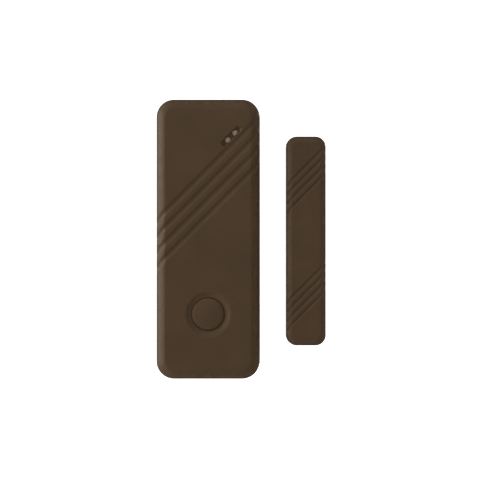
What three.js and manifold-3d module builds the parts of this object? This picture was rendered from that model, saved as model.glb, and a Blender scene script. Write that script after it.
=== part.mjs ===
// A wireless door contact: a slim sensor with a panic button and two status lights, and beside it the
// magnet unit that rides on the door. Millimetres.
//
// Every piece is drawn lying on its back: x runs across the case, y up its length and z out from the
// wall, which is the plane z = 0. The finished group is then stood upright, so that +Z is up, the mounting
// faces look along +Y and the fronts look along -Y.

import * as THREE from "three";
import { mergeVertices } from "three/addons/utils/BufferGeometryUtils.js";
import Module from "manifold-3d";

const wasm = await Module();
wasm.setup();

// ---------------------------------------------------------------- driving dimensions

const GLUE = 0.05; // gap between pieces that are stuck or soldered together
const SEAM = 0.3; // gap between a cover and its base
const CORNER_STEPS = 3; // pairs of facets round a quarter turn of a case's outline
const EDGE_STEPS = 5; // facets across the rounded edge of a case's front
const PAD_THICKNESS = 0.8;

// Each case: its outline, the heights of its front face and of its seam, and its walls. The rounded edge
// leans in by edge.width while it rises by edge.depth. A fullness of 2 makes it an ellipse, and less
// makes it flatter. The lip is the base's rim inside the cover.
const SENSOR = {
  width: 37.2, length: 100, corner: 6.5, top: 16, seam: 3.9,
  wall: 1.8, roof: 2, floor: 2.8, lip: 1, lipTop: 6, draft: 0.2,
  edge: { width: 3.3, depth: 2.6, fullness: 1.4 },
};
const MAGNET = {
  width: 14.4, length: 75, corner: 3.9, top: 13.2, seam: 3.1,
  wall: 1.3, roof: 1.5, floor: 2.4, lip: 0.8, lipTop: 4.8, draft: 0.15,
  edge: { width: 2.2, depth: 1.6, fullness: 1.5 },
};
const MAGNET_CENTRE = [35, -0.65];
const FOOT_CHAMFER = 0.5;

// Grooves climb to the right at 45 degrees and wrap over the case's long edges. Each group's first and its
// pitch are measured square to the grooves, from the middle of the face towards its upper left.
const SENSOR_GROOVES = { width: 2.4, depth: 0.42, pitch: 3.85, firsts: [6.1], count: 4 };
const MAGNET_GROOVES = { width: 1.4, depth: 0.36, pitch: 2.28, firsts: [12.1, -17.5], count: 4 };
const GROOVE_SIDES = 8;
const GROOVE_FADE = [0.3, 2.6]; // how far down the side a groove starts to lift out, and where it is gone

const LIGHTS = { centre: [8.3, 36.55], spacing: 3.6, radius: 1.05 };
const LIGHT_SLOT = { length: 9.4, width: 2.6, depth: 0.7 };
const LIGHT_GUIDE = { length: 7, width: 3.6, thickness: 1, foot: 9.4, proud: 0.25 };

const BUTTON = {
  y: -26.7, radius: 5.95, flange: 7.2, flangeThickness: 0.9, edge: 0.55, crown: 0.35, crownSteps: 4, stem: 1.5,
};
const BUTTON_DISH = { hole: 6.25, floorRadius: 7.05, rimRadius: 8.1, depth: 0.65 };
const BUTTON_SIDES = 40;

const BOARD = { bottom: 5.5, thickness: 1.6, halfWidth: 15, low: -36, high: 43, corner: 2 };
const BATTERY_BAY = { edge: -2.4, low: -19, high: 27 }; // the cut-out in the board beside the battery
const BATTERY = { x: -8.6, z: 8.35, radius: 5.15, bottom: -14, shoulder: 13.3, nub: 14.5, nubRadius: 2.7 };
const BATTERY_SPRING = { wire: 0.33, turns: 3, wide: 3.7, narrow: 2.1 };
const CONTACTS = {
  thickness: 0.4, positive: 15, negative: -17.2, top: 12.2, left: -12, right: 0.4,
  lift: 0.5, neckGap: 0.5, tab: 1.6, shoulder: 3, chamfer: 1,
};
const CONTACT_RIB = { width: 10.6, thickness: 2.6, top: 4.1 };
const CRADLE_RIB = { width: 11.6, thickness: 1.4, top: 7.3, places: [-9, 9], clearance: 0.25 };

const BOARD_SCREWS = { upper: [-12, 39.5], lower: [-12, -32.5], side: [12.2, 20] };
const SCREW = {
  tip: 3.6, taper: 0.7, shank: 0.8, head: 2.1, rim: 0.7, height: 1.45, rounding: [0.5, 0.15], slot: [0.5, 2.2],
};
const BOSS = { radius: 2.6, hole: 0.85, board: 1.25, skin: 0.4 };
const WALL_HOLES = { places: [[0, -41.5], [-9, 22]], radius: 1.9, head: 3.6 };
const MAGNET_HOLES = { places: [[0, -30], [0, 30]], radius: 1.6, head: 2.9 };
const SNAP_BEAD = { proud: 0.2, length: 8, low: 4.7, high: 5.3, y: 26 };
const PRY_SLOT = { width: 9, reach: 1.2, depth: 1.1 };

const SWITCH = { size: 6, top: 10.65, lug: [1, 4.4, 1.2], clearance: 0.15 };
const BUTTON_SWITCH = { centre: [0, BUTTON.y], radius: 1.7, foot: 9.9, tip: 12.3 };
const TAMPER_SWITCH = { centre: [-8.5, 33], radius: 1.2, foot: 8.3, tip: 12 };
const SWITCH_GAP = 0.2; // between a plunger's tip and what presses it
const TAMPER_POST_RADIUS = 1.7;

const REED = {
  x: 12.6, z: 9.1, glass: 14, radius: 1.1, bore: 0.78, seal: 2, shoulder: 0.5,
  lead: 0.25, leadGap: 0.07, span: 22, bend: 0.9,
};
const REED_BLADE = { width: 0.85, thickness: 0.18, from: -0.8, to: 4.6, apart: 0.14 };
const CHIP = {
  centre: [4.2, -9], width: 3.9, length: 9.9, height: 1.6, standoff: 0.15, legs: 8, pitch: 1.27,
};
const CHIP_LEG = { width: 0.42, foot: [1.2, 0.25], shoulder: [0.5, 0.8] };
const RESONATOR = { centre: [5, 10.5], rim: 4.6, rimHeight: 0.5, radius: 4.1, height: 3.3, edge: 0.3 };
const CAPACITOR = { centre: [8.6, -19.6], radius: 2.5, height: 5.3, groove: 0.2, grooveAt: [3.6, 4.5] };
const AERIAL = { start: [-7.5, 40.2], length: 12, turns: 8, radius: 1.9, wire: 0.35 };
const LAMP = { length: 2.6, width: 2.2, height: 1.9 };
const BAR_MAGNET = { width: 8, length: 36, height: 6, corner: 0.8, chamfer: 0.3 };
const MAGNET_KEEPER = { thickness: 1.2, clearance: 0.3, top: 5.6 };
const SENSOR_PAD = [26, 36];
const MAGNET_PAD = [10, 50];
const PAD_CORNER = 2;

const BOARD_TOP = BOARD.bottom + BOARD.thickness;
const ON_BOARD = BOARD_TOP + GLUE; // where anything soldered to the board starts
const SENSOR_ROOF = SENSOR.top - SENSOR.roof; // the underside of the cover's roof
const BITE = 0.1; // how far a joined piece reaches into its neighbour
const PAST = 1; // how far a cutting tool reaches past what it cuts

// ---------------------------------------------------------------- materials

const finish = (color, roughness, metalness = 0) =>
  new THREE.MeshStandardMaterial({ color, roughness, metalness });

const BROWN = finish(0x4b3b2b, 0.55);
const FOAM = finish(0xd8d6cc, 0.95);
const FIBREGLASS = finish(0x1d5a35, 0.45);
const BLACK_RESIN = finish(0x17181a, 0.5);
const IVORY_RESIN = finish(0xd9d6c8, 0.5);
const NICKEL = finish(0xb9b7b0, 0.3, 1);
const STEEL = finish(0x9b9da0, 0.35, 1);
const COPPER = finish(0xb5713f, 0.3, 1);
const ALUMINIUM = finish(0xc0c0c4, 0.4, 1);
const GLASS = finish(0xcfd8cc, 0.05);
const CLEAR_RESIN = finish(0xc9b8a6, 0.2);
const RED_LAMP = finish(0xb0473c, 0.3);
const GREEN_LAMP = finish(0x5e9a54, 0.3);
const SLEEVE = finish(0x8d8f94, 0.35, 0.6);
const FERRITE = finish(0x3a3b3d, 0.6);

// ---------------------------------------------------------------- solids

// A closed geometry as a solid that can be cut and joined.
function solid(geometry) {
  const bare = new THREE.BufferGeometry().setAttribute("position", geometry.getAttribute("position").clone());
  const { attributes, index } = mergeVertices(bare.setIndex(geometry.index));
  const triVerts = new Uint32Array(index.array);
  return new wasm.Manifold(
    new wasm.Mesh({ numProp: 3, vertProperties: attributes.position.array, triVerts }),
  );
}

// A solid as a geometry again.
function geometryOf(made) {
  const { vertProperties, triVerts } = made.getMesh();
  const geometry = new THREE.BufferGeometry();
  geometry.setAttribute("position", new THREE.BufferAttribute(vertProperties, 3));
  return geometry.setIndex(new THREE.BufferAttribute(triVerts, 1));
}

const join = (geometries) =>
  geometryOf(geometries.map(solid).reduce((whole, next) => whole.add(next)));

const cut = (geometry, tools) =>
  geometryOf(tools.map(solid).reduce((whole, tool) => whole.subtract(tool), solid(geometry)));

// A closed skin over rings of points, each running counter-clockwise as seen from the next one.
function loft(rings) {
  const around = rings[0].length;
  const middle = (ring) =>
    ring.reduce((sum, point) => sum.add(point), new THREE.Vector3()).divideScalar(around);
  const points = [...rings.flat(), middle(rings[0]), middle(rings.at(-1))];
  const [firstCap, lastCap] = [points.length - 2, points.length - 1];
  const lastRing = (rings.length - 1) * around;
  const index = [];
  for (let j = 0; j < around; j++) {
    const k = (j + 1) % around;
    for (let row = 0; row < lastRing; row += around) {
      const [a, b, c, d] = [row + j, row + k, row + around + j, row + around + k];
      index.push(a, b, c, b, d, c);
    }
    index.push(firstCap, k, j, lastCap, lastRing + j, lastRing + k);
  }
  return new THREE.BufferGeometry().setFromPoints(points).setIndex(index);
}

function roundedRect(width, length, radius) {
  const [x, y] = [width / 2 - radius, length / 2 - radius];
  const shape = new THREE.Shape();
  [[x, y], [-x, y], [-x, -y], [x, -y]].forEach(([cx, cy], quarter) => {
    const start = (quarter * Math.PI) / 2;
    shape.absarc(cx, cy, radius, start, start + Math.PI / 2, false);
  });
  return shape;
}

// A flat outline given a thickness, between two heights.
const slab = (shape, low, high, curveSegments = 8) =>
  new THREE.ExtrudeGeometry(shape, { depth: high - low, bevelEnabled: false, curveSegments })
    .translate(0, 0, low);

const block = (width, length, low, high, [x, y] = [0, 0]) =>
  new THREE.BoxGeometry(width, length, high - low).translate(x, y, (low + high) / 2);

const post = (radius, low, high, [x, y] = [0, 0], sides = 20) =>
  new THREE.CylinderGeometry(radius, radius, high - low, sides)
    .rotateX(Math.PI / 2)
    .translate(x, y, (low + high) / 2);

// A round piece that stands on z, from its outline as [radius, height], from the bottom up.
const turned = (outline, [x, y] = [0, 0], sides = 32) =>
  new THREE.LatheGeometry(outline.map(([r, z]) => new THREE.Vector2(r, z)), sides)
    .rotateX(Math.PI / 2)
    .translate(x, y, 0);

// Turns a piece that stands on z so that it lies along y.
const laidAlongY = (geometry) => geometry.rotateX(-Math.PI / 2);

function circle(radius, sides) {
  const corners = Array.from({ length: sides }, (_, i) => {
    const angle = (2 * Math.PI * i) / sides;
    return new THREE.Vector2(radius * Math.cos(angle), radius * Math.sin(angle));
  });
  return new THREE.Shape(corners);
}

const wireAlong = (path, radius, steps, sides = 8) =>
  new THREE.ExtrudeGeometry(circle(radius, sides), { extrudePath: path, steps, bevelEnabled: false });

// A coil round the y axis, whose radius may change along its length.
class Coil extends THREE.Curve {
  constructor({ turns, length, startRadius, endRadius = startRadius }) {
    super();
    Object.assign(this, { turns, length, startRadius, endRadius });
  }

  getPoint(t, target = new THREE.Vector3()) {
    const angle = 2 * Math.PI * this.turns * t;
    const radius = THREE.MathUtils.lerp(this.startRadius, this.endRadius, t);
    return target.set(radius * Math.cos(angle), this.length * t, radius * Math.sin(angle));
  }
}

// ---------------------------------------------------------------- the two cases

// A rounded rectangle as a ring of points at one height.
const outlineRing = ({ width, length, corner }, inset, z, steps = CORNER_STEPS) =>
  roundedRect(width - 2 * inset, length - 2 * inset, corner - inset)
    .getPoints(steps)
    .map((p) => new THREE.Vector3(p.x, p.y, z));

const insetOutline = ({ width, length, corner }, inset) =>
  roundedRect(width - 2 * inset, length - 2 * inset, corner - inset);

// The section of a cover's outside as [inset, height], from its seam up to its face.
function coverSection({ top, seam, draft, edge }) {
  const power = 2 / edge.fullness;
  const rounded = Array.from({ length: EDGE_STEPS + 1 }, (_, i) => {
    const angle = (i / EDGE_STEPS) * (Math.PI / 2);
    const inset = draft + edge.width * (1 - Math.cos(angle) ** power);
    return [inset, top - edge.depth + edge.depth * Math.sin(angle) ** power];
  });
  return [[0, seam + SEAM], ...rounded];
}

// The section again from the face outwards, down to where the grooves are gone. Each stop has its length
// over the surface from the edge of the flat face, and the way that the surface faces there.
function edgeRun(box) {
  const [foot, ...rounded] = coverSection(box);
  const shoulder = rounded[0];
  const below = (drop) => {
    const share = drop / (shoulder[1] - foot[1]);
    return shoulder.map((value, i) => THREE.MathUtils.lerp(value, foot[i], share));
  };
  const stops = [...rounded.reverse(), ...GROOVE_FADE.map(below)];
  let run = 0;
  return stops.map(([inset, z], i) => {
    const before = stops[Math.max(i - 1, 0)];
    const after = stops[Math.min(i + 1, stops.length - 1)];
    run += Math.hypot(inset - before[0], z - before[1]);
    const outward = new THREE.Vector2(before[1] - after[1], before[0] - after[0]).normalize();
    if (i === 0) outward.set(0, 1);
    return { inset, z, run, outward };
  });
}

// The round tool for one groove. It follows the case's surface from one side, over the face, to the
// other, climbs as far as it travels, and lifts out at both ends.
function grooveTool(box, { width, depth }, crossing) {
  const radius = (width ** 2 / 4 + depth ** 2) / (2 * depth);
  const halfFace = box.width / 2 - box.draft - box.edge.width;
  const right = edgeRun(box).map(({ inset, z, run, outward }, i, stops) => {
    const lift = i === stops.length - 1 ? radius + BITE : radius - depth;
    const x = box.width / 2 - inset + outward.x * lift;
    return { x, z: z + outward.y * lift, travelled: halfFace + run, outward };
  });
  const left = right.map(({ x, z, travelled, outward }) => {
    return { x: -x, z, travelled: -travelled, outward: new THREE.Vector2(-outward.x, outward.y) };
  });
  const stations = [...left.reverse(), ...right];
  const path = stations.map(({ x, z, travelled }) => new THREE.Vector3(x, crossing + travelled, z));
  const rings = path.map((centre, i) => {
    const ahead = path[Math.min(i + 1, path.length - 1)];
    const along = ahead.clone().sub(path[Math.max(i - 1, 0)]).normalize();
    const { outward } = stations[i];
    const across = new THREE.Vector3(outward.x, 0, outward.y).cross(along).normalize();
    const up = along.clone().cross(across);
    return Array.from({ length: GROOVE_SIDES }, (_, k) => {
      const angle = (2 * Math.PI * k) / GROOVE_SIDES;
      return centre.clone()
        .addScaledVector(across, radius * Math.cos(angle))
        .addScaledVector(up, radius * Math.sin(angle));
    });
  });
  return loft(rings);
}

const grooveTools = (box, grooves) =>
  grooves.firsts.flatMap((first) =>
    Array.from({ length: grooves.count }, (_, i) =>
      grooveTool(box, grooves, Math.SQRT2 * (first + i * grooves.pitch))));

// A cover: an open shell with its grooves cut.
function coverShell(box, grooves) {
  const outside = loft(coverSection(box).map(([inset, z]) => outlineRing(box, inset, z)));
  const inside = slab(insetOutline(box, box.wall), box.seam - PAST, box.top - box.roof);
  return cut(outside, [inside, ...grooveTools(box, grooves)]);
}

// A base: a tray with a chamfered foot, and a lip that stands up inside the cover.
function baseTray(box) {
  const foot = PAD_THICKNESS + GLUE;
  const tray = loft([
    outlineRing(box, FOOT_CHAMFER, foot),
    outlineRing(box, 0, foot + FOOT_CHAMFER),
    outlineRing(box, 0, box.seam),
  ]);
  const lipInset = box.wall + SEAM;
  const lip = slab(insetOutline(box, lipInset), box.floor, box.lipTop);
  const hollow = slab(insetOutline(box, lipInset + box.lip), box.floor, box.lipTop + PAST);
  return cut(join([tray, lip]), [hollow]);
}

// The tools for a tray's countersunk holes, for screws into the wall.
function wallHoles({ floor }, { places, radius, head }) {
  const above = floor + PAST;
  const outline = [
    [0, 0], [radius, 0], [radius, floor - (head - radius)], [head, floor], [head, above], [0, above],
  ];
  return places.map((at) => turned(outline, at, 20));
}

// ---------------------------------------------------------------- the sensor's shells

// The four small beads that the cover snaps over.
function snapBeads() {
  const { proud, length, low, high, y } = SNAP_BEAD;
  const side = SENSOR.width / 2 - SENSOR.wall - SEAM;
  const bead = (x, at) => block(2 * proud, length, low, high, [x * side, at]);
  return [-1, 1].flatMap((x) => [bead(x, -y), bead(x, y)]);
}

// A rib across the battery bay, with a slot that holds one contact.
function contactRib(y) {
  const { width, thickness, top } = CONTACT_RIB;
  const { floor } = SENSOR;
  const rib = block(width, thickness, floor - BITE, top, [BATTERY.x, y]);
  const slot = block(width + PAST, CONTACTS.thickness + SEAM, floor + SEAM, top + PAST, [BATTERY.x, y]);
  return cut(rib, [slot]);
}

// A rib with a round seat, which the battery lies in.
function cradleRib(y) {
  const { width, thickness, top, clearance } = CRADLE_RIB;
  const rib = block(width, thickness, SENSOR.floor - BITE, top, [BATTERY.x, y]);
  const seat = laidAlongY(post(BATTERY.radius + clearance, y - thickness, y + thickness, [0, 0], 24));
  return cut(rib, [seat.translate(BATTERY.x, 0, BATTERY.z)]);
}

// A boss that one of the board's screws bites into.
function boardBoss(at) {
  const boss = post(BOSS.radius, SENSOR.floor - BITE, BOARD.bottom - GLUE, at);
  return cut(boss, [post(BOSS.hole, SENSOR.floor + BOSS.skin, BOARD.bottom + PAST, at, 12)]);
}

function sensorBase() {
  const whole = join([
    baseTray(SENSOR),
    ...snapBeads(),
    ...[CONTACTS.positive, CONTACTS.negative].map(contactRib),
    ...CRADLE_RIB.places.map(cradleRib),
    ...Object.values(BOARD_SCREWS).map(boardBoss),
  ]);
  const { width, reach, depth } = PRY_SLOT;
  const prySlot = block(width, 2 * reach, SENSOR.seam - depth, SENSOR.seam + PAST, [0, -SENSOR.length / 2]);
  return cut(whole, [prySlot, ...wallHoles(SENSOR, WALL_HOLES)]);
}

// Where the two lights are, the lower one first.
const lightPlaces = [-1, 1].map((side) => {
  const along = (side * LIGHTS.spacing) / 2 / Math.SQRT2;
  return [LIGHTS.centre[0] + along, LIGHTS.centre[1] + along];
});

const slanted = (geometry) => geometry.rotateZ(Math.PI / 4).translate(...LIGHTS.centre, 0);

// The slanted slot that the two lights sit in, and their holes through its floor.
function lightSlot() {
  const { length, width, depth } = LIGHT_SLOT;
  const slot = slab(roundedRect(length, width, width / 2), SENSOR.top - depth, SENSOR.top + PAST);
  const holes = lightPlaces.map((at) =>
    post(LIGHTS.radius + BITE, SENSOR_ROOF - PAST, SENSOR.top, at, 24));
  return [slanted(slot), ...holes];
}

// The dish round the button, and the hole that the button moves in.
function buttonDish() {
  const { hole, floorRadius, rimRadius, depth } = BUTTON_DISH;
  const [low, above] = [SENSOR.top - depth, SENSOR.top + PAST];
  const outline = [
    [0, SENSOR_ROOF - PAST], [hole, SENSOR_ROOF - PAST], [hole, low], [floorRadius, low],
    [rimRadius, SENSOR.top], [rimRadius, above], [0, above],
  ];
  return turned(outline, [0, BUTTON.y], BUTTON_SIDES);
}

// The sensor's front, with the post inside its roof that holds the tamper switch down.
function frontCover() {
  const shell = cut(coverShell(SENSOR, SENSOR_GROOVES), [...lightSlot(), buttonDish()]);
  const low = TAMPER_SWITCH.tip + SWITCH_GAP;
  const tamperPost = post(TAMPER_POST_RADIUS, low, SENSOR_ROOF + BITE, TAMPER_SWITCH.centre, 16);
  return join([shell, tamperPost]);
}

// A domed cap, its flange that stays under the roof, and the stem that meets the switch.
function panicButton() {
  const { radius, flange, flangeThickness, edge, crown, crownSteps, stem } = BUTTON;
  const [stemLow, flangeTop] = [BUTTON_SWITCH.tip + SWITCH_GAP, SENSOR_ROOF - SEAM];
  const [flangeLow, edgeTop] = [flangeTop - flangeThickness, SENSOR.top - edge];
  const domeRadius = radius - 1.5 * edge;
  const dome = Array.from({ length: crownSteps + 1 }, (_, i) => {
    const share = 1 - i / crownSteps;
    return [domeRadius * share, SENSOR.top - crown * share ** 2];
  });
  const outline = [
    [0, stemLow], [stem, stemLow], [stem, flangeLow], [flange, flangeLow], [flange, flangeTop],
    [radius, flangeTop], [radius, edgeTop - edge / 2], [radius - edge / 2, edgeTop], ...dome,
  ];
  return turned(outline, [0, BUTTON.y], BUTTON_SIDES);
}

// Two clear rods on a common plate, which carry the lamps' light to the front.
function lightGuide() {
  const { length, width, thickness, foot, proud } = LIGHT_GUIDE;
  const top = SENSOR_ROOF - GLUE;
  const plate = slanted(slab(roundedRect(length, width, width / 2), top - thickness, top));
  const tip = SENSOR.top - LIGHT_SLOT.depth + proud;
  const { radius } = LIGHTS;
  const outline = [[0, foot], [radius, foot], [radius, tip - proud], [radius - proud, tip], [0, tip]];
  return join([plate, ...lightPlaces.map((at) => turned(outline, at, 20))]);
}

// ---------------------------------------------------------------- what the sensor holds

function circuitBoard() {
  const { halfWidth, low, high, corner, bottom } = BOARD;
  const outline = roundedRect(2 * halfWidth, high - low, corner);
  const whole = slab(outline, bottom, BOARD_TOP, 4).translate(0, (low + high) / 2, 0);
  const { edge, low: bayLow, high: bayHigh } = BATTERY_BAY;
  const bayWidth = edge + halfWidth + PAST;
  const bayCentre = [edge - bayWidth / 2, (bayLow + bayHigh) / 2];
  const bay = block(bayWidth, bayHigh - bayLow, bottom - PAST, BOARD_TOP + PAST, bayCentre);
  const holes = Object.values(BOARD_SCREWS).map((at) =>
    post(BOSS.board, bottom - PAST, BOARD_TOP + PAST, at, 16));
  return cut(whole, [bay, ...holes]);
}

// A pan-head screw with a cross recess.
function boardScrew([x, y]) {
  const { tip, taper, shank, head, rim, height, rounding, slot } = SCREW;
  const [seat, top] = [ON_BOARD, ON_BOARD + height];
  const outline = [
    [0, tip], [shank, tip + taper], [shank, seat], [head, seat], [head, seat + rim],
    [head - rounding[0], top - rounding[1]], [0, top],
  ];
  const [narrow, long] = slot;
  const recess = (width, length) => block(width, length, seat + rim, top + PAST);
  return cut(turned(outline, [0, 0], 16), [recess(narrow, long), recess(long, narrow)]).translate(x, y, 0);
}

// A sheet-metal contact: a plate that stands across the battery's end, with a tab that lies on the board.
function contactPlate(y) {
  const { left, right, top, thickness, lift, neckGap, tab, shoulder, chamfer } = CONTACTS;
  const foot = SENSOR.floor + lift;
  const neck = BATTERY_BAY.edge - neckGap;
  const corners = [
    [left, foot], [neck, foot], [neck, ON_BOARD], [right, ON_BOARD], [right, ON_BOARD + tab],
    [neck, ON_BOARD + shoulder], [neck, top - chamfer], [neck - chamfer, top],
    [left + chamfer, top], [left, top - chamfer],
  ];
  const shape = new THREE.Shape(corners.map(([x, z]) => new THREE.Vector2(x, z)));
  return slab(shape, -thickness / 2, thickness / 2).rotateX(Math.PI / 2).translate(0, y, 0);
}

function batterySpring() {
  const { wire, turns, wide, narrow } = BATTERY_SPRING;
  const start = CONTACTS.negative + CONTACTS.thickness / 2 + GLUE + wire;
  const end = BATTERY.bottom - GLUE - wire;
  const coil = new Coil({ turns, length: end - start, startRadius: wide, endRadius: narrow });
  return wireAlong(coil, wire, 12 * turns).translate(BATTERY.x, start, BATTERY.z);
}

function batteryCell() {
  const { radius, bottom, shoulder, nub, nubRadius, x, z } = BATTERY;
  const [crimp, nubEdge] = [0.45, 0.25];
  const outline = [
    [0, bottom], [radius - crimp, bottom], [radius, bottom + crimp], [radius, shoulder - crimp],
    [radius - crimp, shoulder], [nubRadius, shoulder], [nubRadius, nub - nubEdge],
    [nubRadius - nubEdge, nub], [0, nub],
  ];
  return laidAlongY(turned(outline)).translate(x, 0, z);
}

// The glass tube of the reed switch. Its bore is open at both ends, where the leads come out.
function reedGlass() {
  const { x, z, glass, radius, bore, seal, shoulder, lead, leadGap } = REED;
  const [half, hole] = [glass / 2, lead + leadGap];
  const inner = half - seal;
  const outline = [
    [hole, -half], [radius - shoulder, -half], [radius, shoulder - half], [radius, half - shoulder],
    [radius - shoulder, half], [hole, half], [hole, inner], [bore, inner - shoulder], [bore, shoulder - inner],
    [hole, -inner], [hole, -half],
  ];
  return laidAlongY(turned(outline, [0, 0], 20)).translate(x, 0, z);
}

// A lead of the reed switch: it rises from the board, bends into the glass and is flattened there.
function reedLead(side) {
  const { x, z, lead, span, bend } = REED;
  const [end, up] = [(side * span) / 2, z - ON_BOARD];
  const knee = new THREE.QuadraticBezierCurve3(
    new THREE.Vector3(0, end, up - bend),
    new THREE.Vector3(0, end, up),
    new THREE.Vector3(0, end - side * bend, up),
  );
  const { width, thickness, from, to, apart } = REED_BLADE;
  const path = new THREE.CurvePath();
  path.add(new THREE.LineCurve3(new THREE.Vector3(0, end, 0), knee.v0));
  path.add(knee);
  path.add(new THREE.LineCurve3(knee.v2, new THREE.Vector3(0, side * (to - lead), up)));
  const blade = new THREE.BoxGeometry(width, to - from, thickness);
  blade.translate(0, (side * (from + to)) / 2, up - side * apart);
  return join([wireAlong(path, lead, 16), blade]).translate(x, 0, ON_BOARD);
}

// A square switch with a soldering lug on each side and a round well for its plunger.
function switchBody({ centre, radius, foot }) {
  const { size, top, lug, clearance } = SWITCH;
  const [lugWidth, lugLength, lugHeight] = lug;
  const body = block(size, size, ON_BOARD, top, centre);
  const lugs = [-1, 1].map((side) =>
    block(lugWidth, lugLength, ON_BOARD, ON_BOARD + lugHeight, [centre[0] + (side * size) / 2, centre[1]]));
  const well = post(radius + clearance, foot - 2 * SWITCH_GAP, top + PAST, centre, 24);
  return cut(join([body, ...lugs]), [well]);
}

function switchPlunger({ centre, radius, foot, tip }) {
  const chamfer = 0.15;
  const outline = [[0, foot], [radius, foot], [radius, tip - chamfer], [radius - chamfer, tip], [0, tip]];
  return turned(outline, centre, 24);
}

// A small-outline chip that lies along y, with legs down both sides.
function encoderChip() {
  const { centre, width, length, height, standoff, legs, pitch } = CHIP;
  const body = block(width, length, ON_BOARD + standoff, ON_BOARD + height);
  const rows = Array.from({ length: legs }, (_, i) => (i - (legs - 1) / 2) * pitch);
  const pins = rows.flatMap((y) => [-1, 1].flatMap((side) =>
    [CHIP_LEG.foot, CHIP_LEG.shoulder].map(([reach, rise]) => {
      const x = side * (width / 2 - BITE + reach / 2);
      return block(reach, CHIP_LEG.width, ON_BOARD, ON_BOARD + rise, [x, y]);
    })));
  return join([body, ...pins]).translate(...centre, 0);
}

// The round metal can of the resonator, on its wider rim.
function resonatorCan() {
  const { centre, rim, rimHeight, radius, height, edge } = RESONATOR;
  const [rimTop, top] = [ON_BOARD + rimHeight, ON_BOARD + height];
  const outline = [
    [0, ON_BOARD], [rim, ON_BOARD], [rim, rimTop], [radius, rimTop], [radius, top - edge],
    [radius - edge, top], [0, top],
  ];
  return turned(outline, centre);
}

// An upright can with the rolled groove that seals it.
function storageCapacitor() {
  const { centre, radius, height, groove, grooveAt } = CAPACITOR;
  const [low, high] = grooveAt.map((z) => ON_BOARD + z);
  const top = ON_BOARD + height;
  const outline = [
    [0, ON_BOARD], [radius, ON_BOARD], [radius, low], [radius - groove, low + groove],
    [radius - groove, high - groove], [radius, high], [radius, top - groove], [radius - groove, top],
    [0, top],
  ];
  return turned(outline, centre, 24);
}

// A spring aerial that lies across the top of the board.
function springAerial() {
  const { start, length, turns, radius, wire } = AERIAL;
  const coil = new Coil({ turns, length, startRadius: radius });
  const height = ON_BOARD + radius + wire + GLUE;
  return wireAlong(coil, wire, 9 * turns, 6).rotateZ(-Math.PI / 2).translate(...start, height);
}

function lamp(at) {
  const { length, width, height } = LAMP;
  return block(length, width, ON_BOARD, ON_BOARD + height).rotateZ(Math.PI / 4).translate(...at, 0);
}

// ---------------------------------------------------------------- the magnet unit's pieces

// The magnet unit's tray, with a stop at each end of the magnet.
function magnetBase() {
  const { thickness, clearance, top } = MAGNET_KEEPER;
  const away = BAR_MAGNET.length / 2 + clearance + thickness / 2;
  const keepers = [-1, 1].map((side) =>
    block(BAR_MAGNET.width, thickness, MAGNET.floor - BITE, top, [0, side * away]));
  return cut(join([baseTray(MAGNET), ...keepers]), wallHoles(MAGNET, MAGNET_HOLES));
}

function barMagnet() {
  const { height, chamfer } = BAR_MAGNET;
  const low = MAGNET.floor + GLUE;
  const ring = (inset, z) => outlineRing(BAR_MAGNET, inset, z, 2);
  return loft([
    ring(chamfer, low), ring(0, low + chamfer), ring(0, low + height - chamfer), ring(chamfer, low + height),
  ]);
}

const foamPad = ([width, length]) => slab(roundedRect(width, length, PAD_CORNER), 0, PAD_THICKNESS, 5);

// ---------------------------------------------------------------- the assembly

const sensor = new THREE.Group();
const magnet = new THREE.Group();
magnet.position.set(...MAGNET_CENTRE, 0);

function add(group, name, geometry, material) {
  const mesh = new THREE.Mesh(geometry, material);
  mesh.name = name;
  group.add(mesh);
}

add(sensor, "sensor_adhesive_pad", foamPad(SENSOR_PAD), FOAM);
add(sensor, "sensor_base", sensorBase(), BROWN);
add(sensor, "front_cover", frontCover(), BROWN);
add(sensor, "panic_button", panicButton(), BROWN);
add(sensor, "light_guide", lightGuide(), CLEAR_RESIN);
add(sensor, "circuit_board", circuitBoard(), FIBREGLASS);
for (const [place, at] of Object.entries(BOARD_SCREWS)) {
  add(sensor, `board_screw_${place}`, boardScrew(at), STEEL);
}
add(sensor, "battery_cell", batteryCell(), SLEEVE);
add(sensor, "battery_contact_positive", contactPlate(CONTACTS.positive), NICKEL);
add(sensor, "battery_contact_negative", contactPlate(CONTACTS.negative), NICKEL);
add(sensor, "battery_spring", batterySpring(), STEEL);
add(sensor, "reed_switch_glass", reedGlass(), GLASS);
add(sensor, "reed_lead_upper", reedLead(1), NICKEL);
add(sensor, "reed_lead_lower", reedLead(-1), NICKEL);
add(sensor, "button_switch_body", switchBody(BUTTON_SWITCH), BLACK_RESIN);
add(sensor, "button_switch_plunger", switchPlunger(BUTTON_SWITCH), BLACK_RESIN);
add(sensor, "tamper_switch_body", switchBody(TAMPER_SWITCH), BLACK_RESIN);
add(sensor, "tamper_switch_plunger", switchPlunger(TAMPER_SWITCH), IVORY_RESIN);
add(sensor, "encoder_chip", encoderChip(), BLACK_RESIN);
add(sensor, "saw_resonator", resonatorCan(), NICKEL);
add(sensor, "storage_capacitor", storageCapacitor(), ALUMINIUM);
add(sensor, "spring_aerial", springAerial(), COPPER);
add(sensor, "alarm_lamp_red", lamp(lightPlaces[1]), RED_LAMP);
add(sensor, "status_lamp_green", lamp(lightPlaces[0]), GREEN_LAMP);

add(magnet, "magnet_adhesive_pad", foamPad(MAGNET_PAD), FOAM);
add(magnet, "magnet_base", magnetBase(), BROWN);
add(magnet, "magnet_cover", coverShell(MAGNET, MAGNET_GROOVES), BROWN);
add(magnet, "bar_magnet", barMagnet(), FERRITE);

const doorContact = new THREE.Group();
doorContact.add(sensor, magnet);
doorContact.rotation.x = Math.PI / 2;

export default doorContact;
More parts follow.
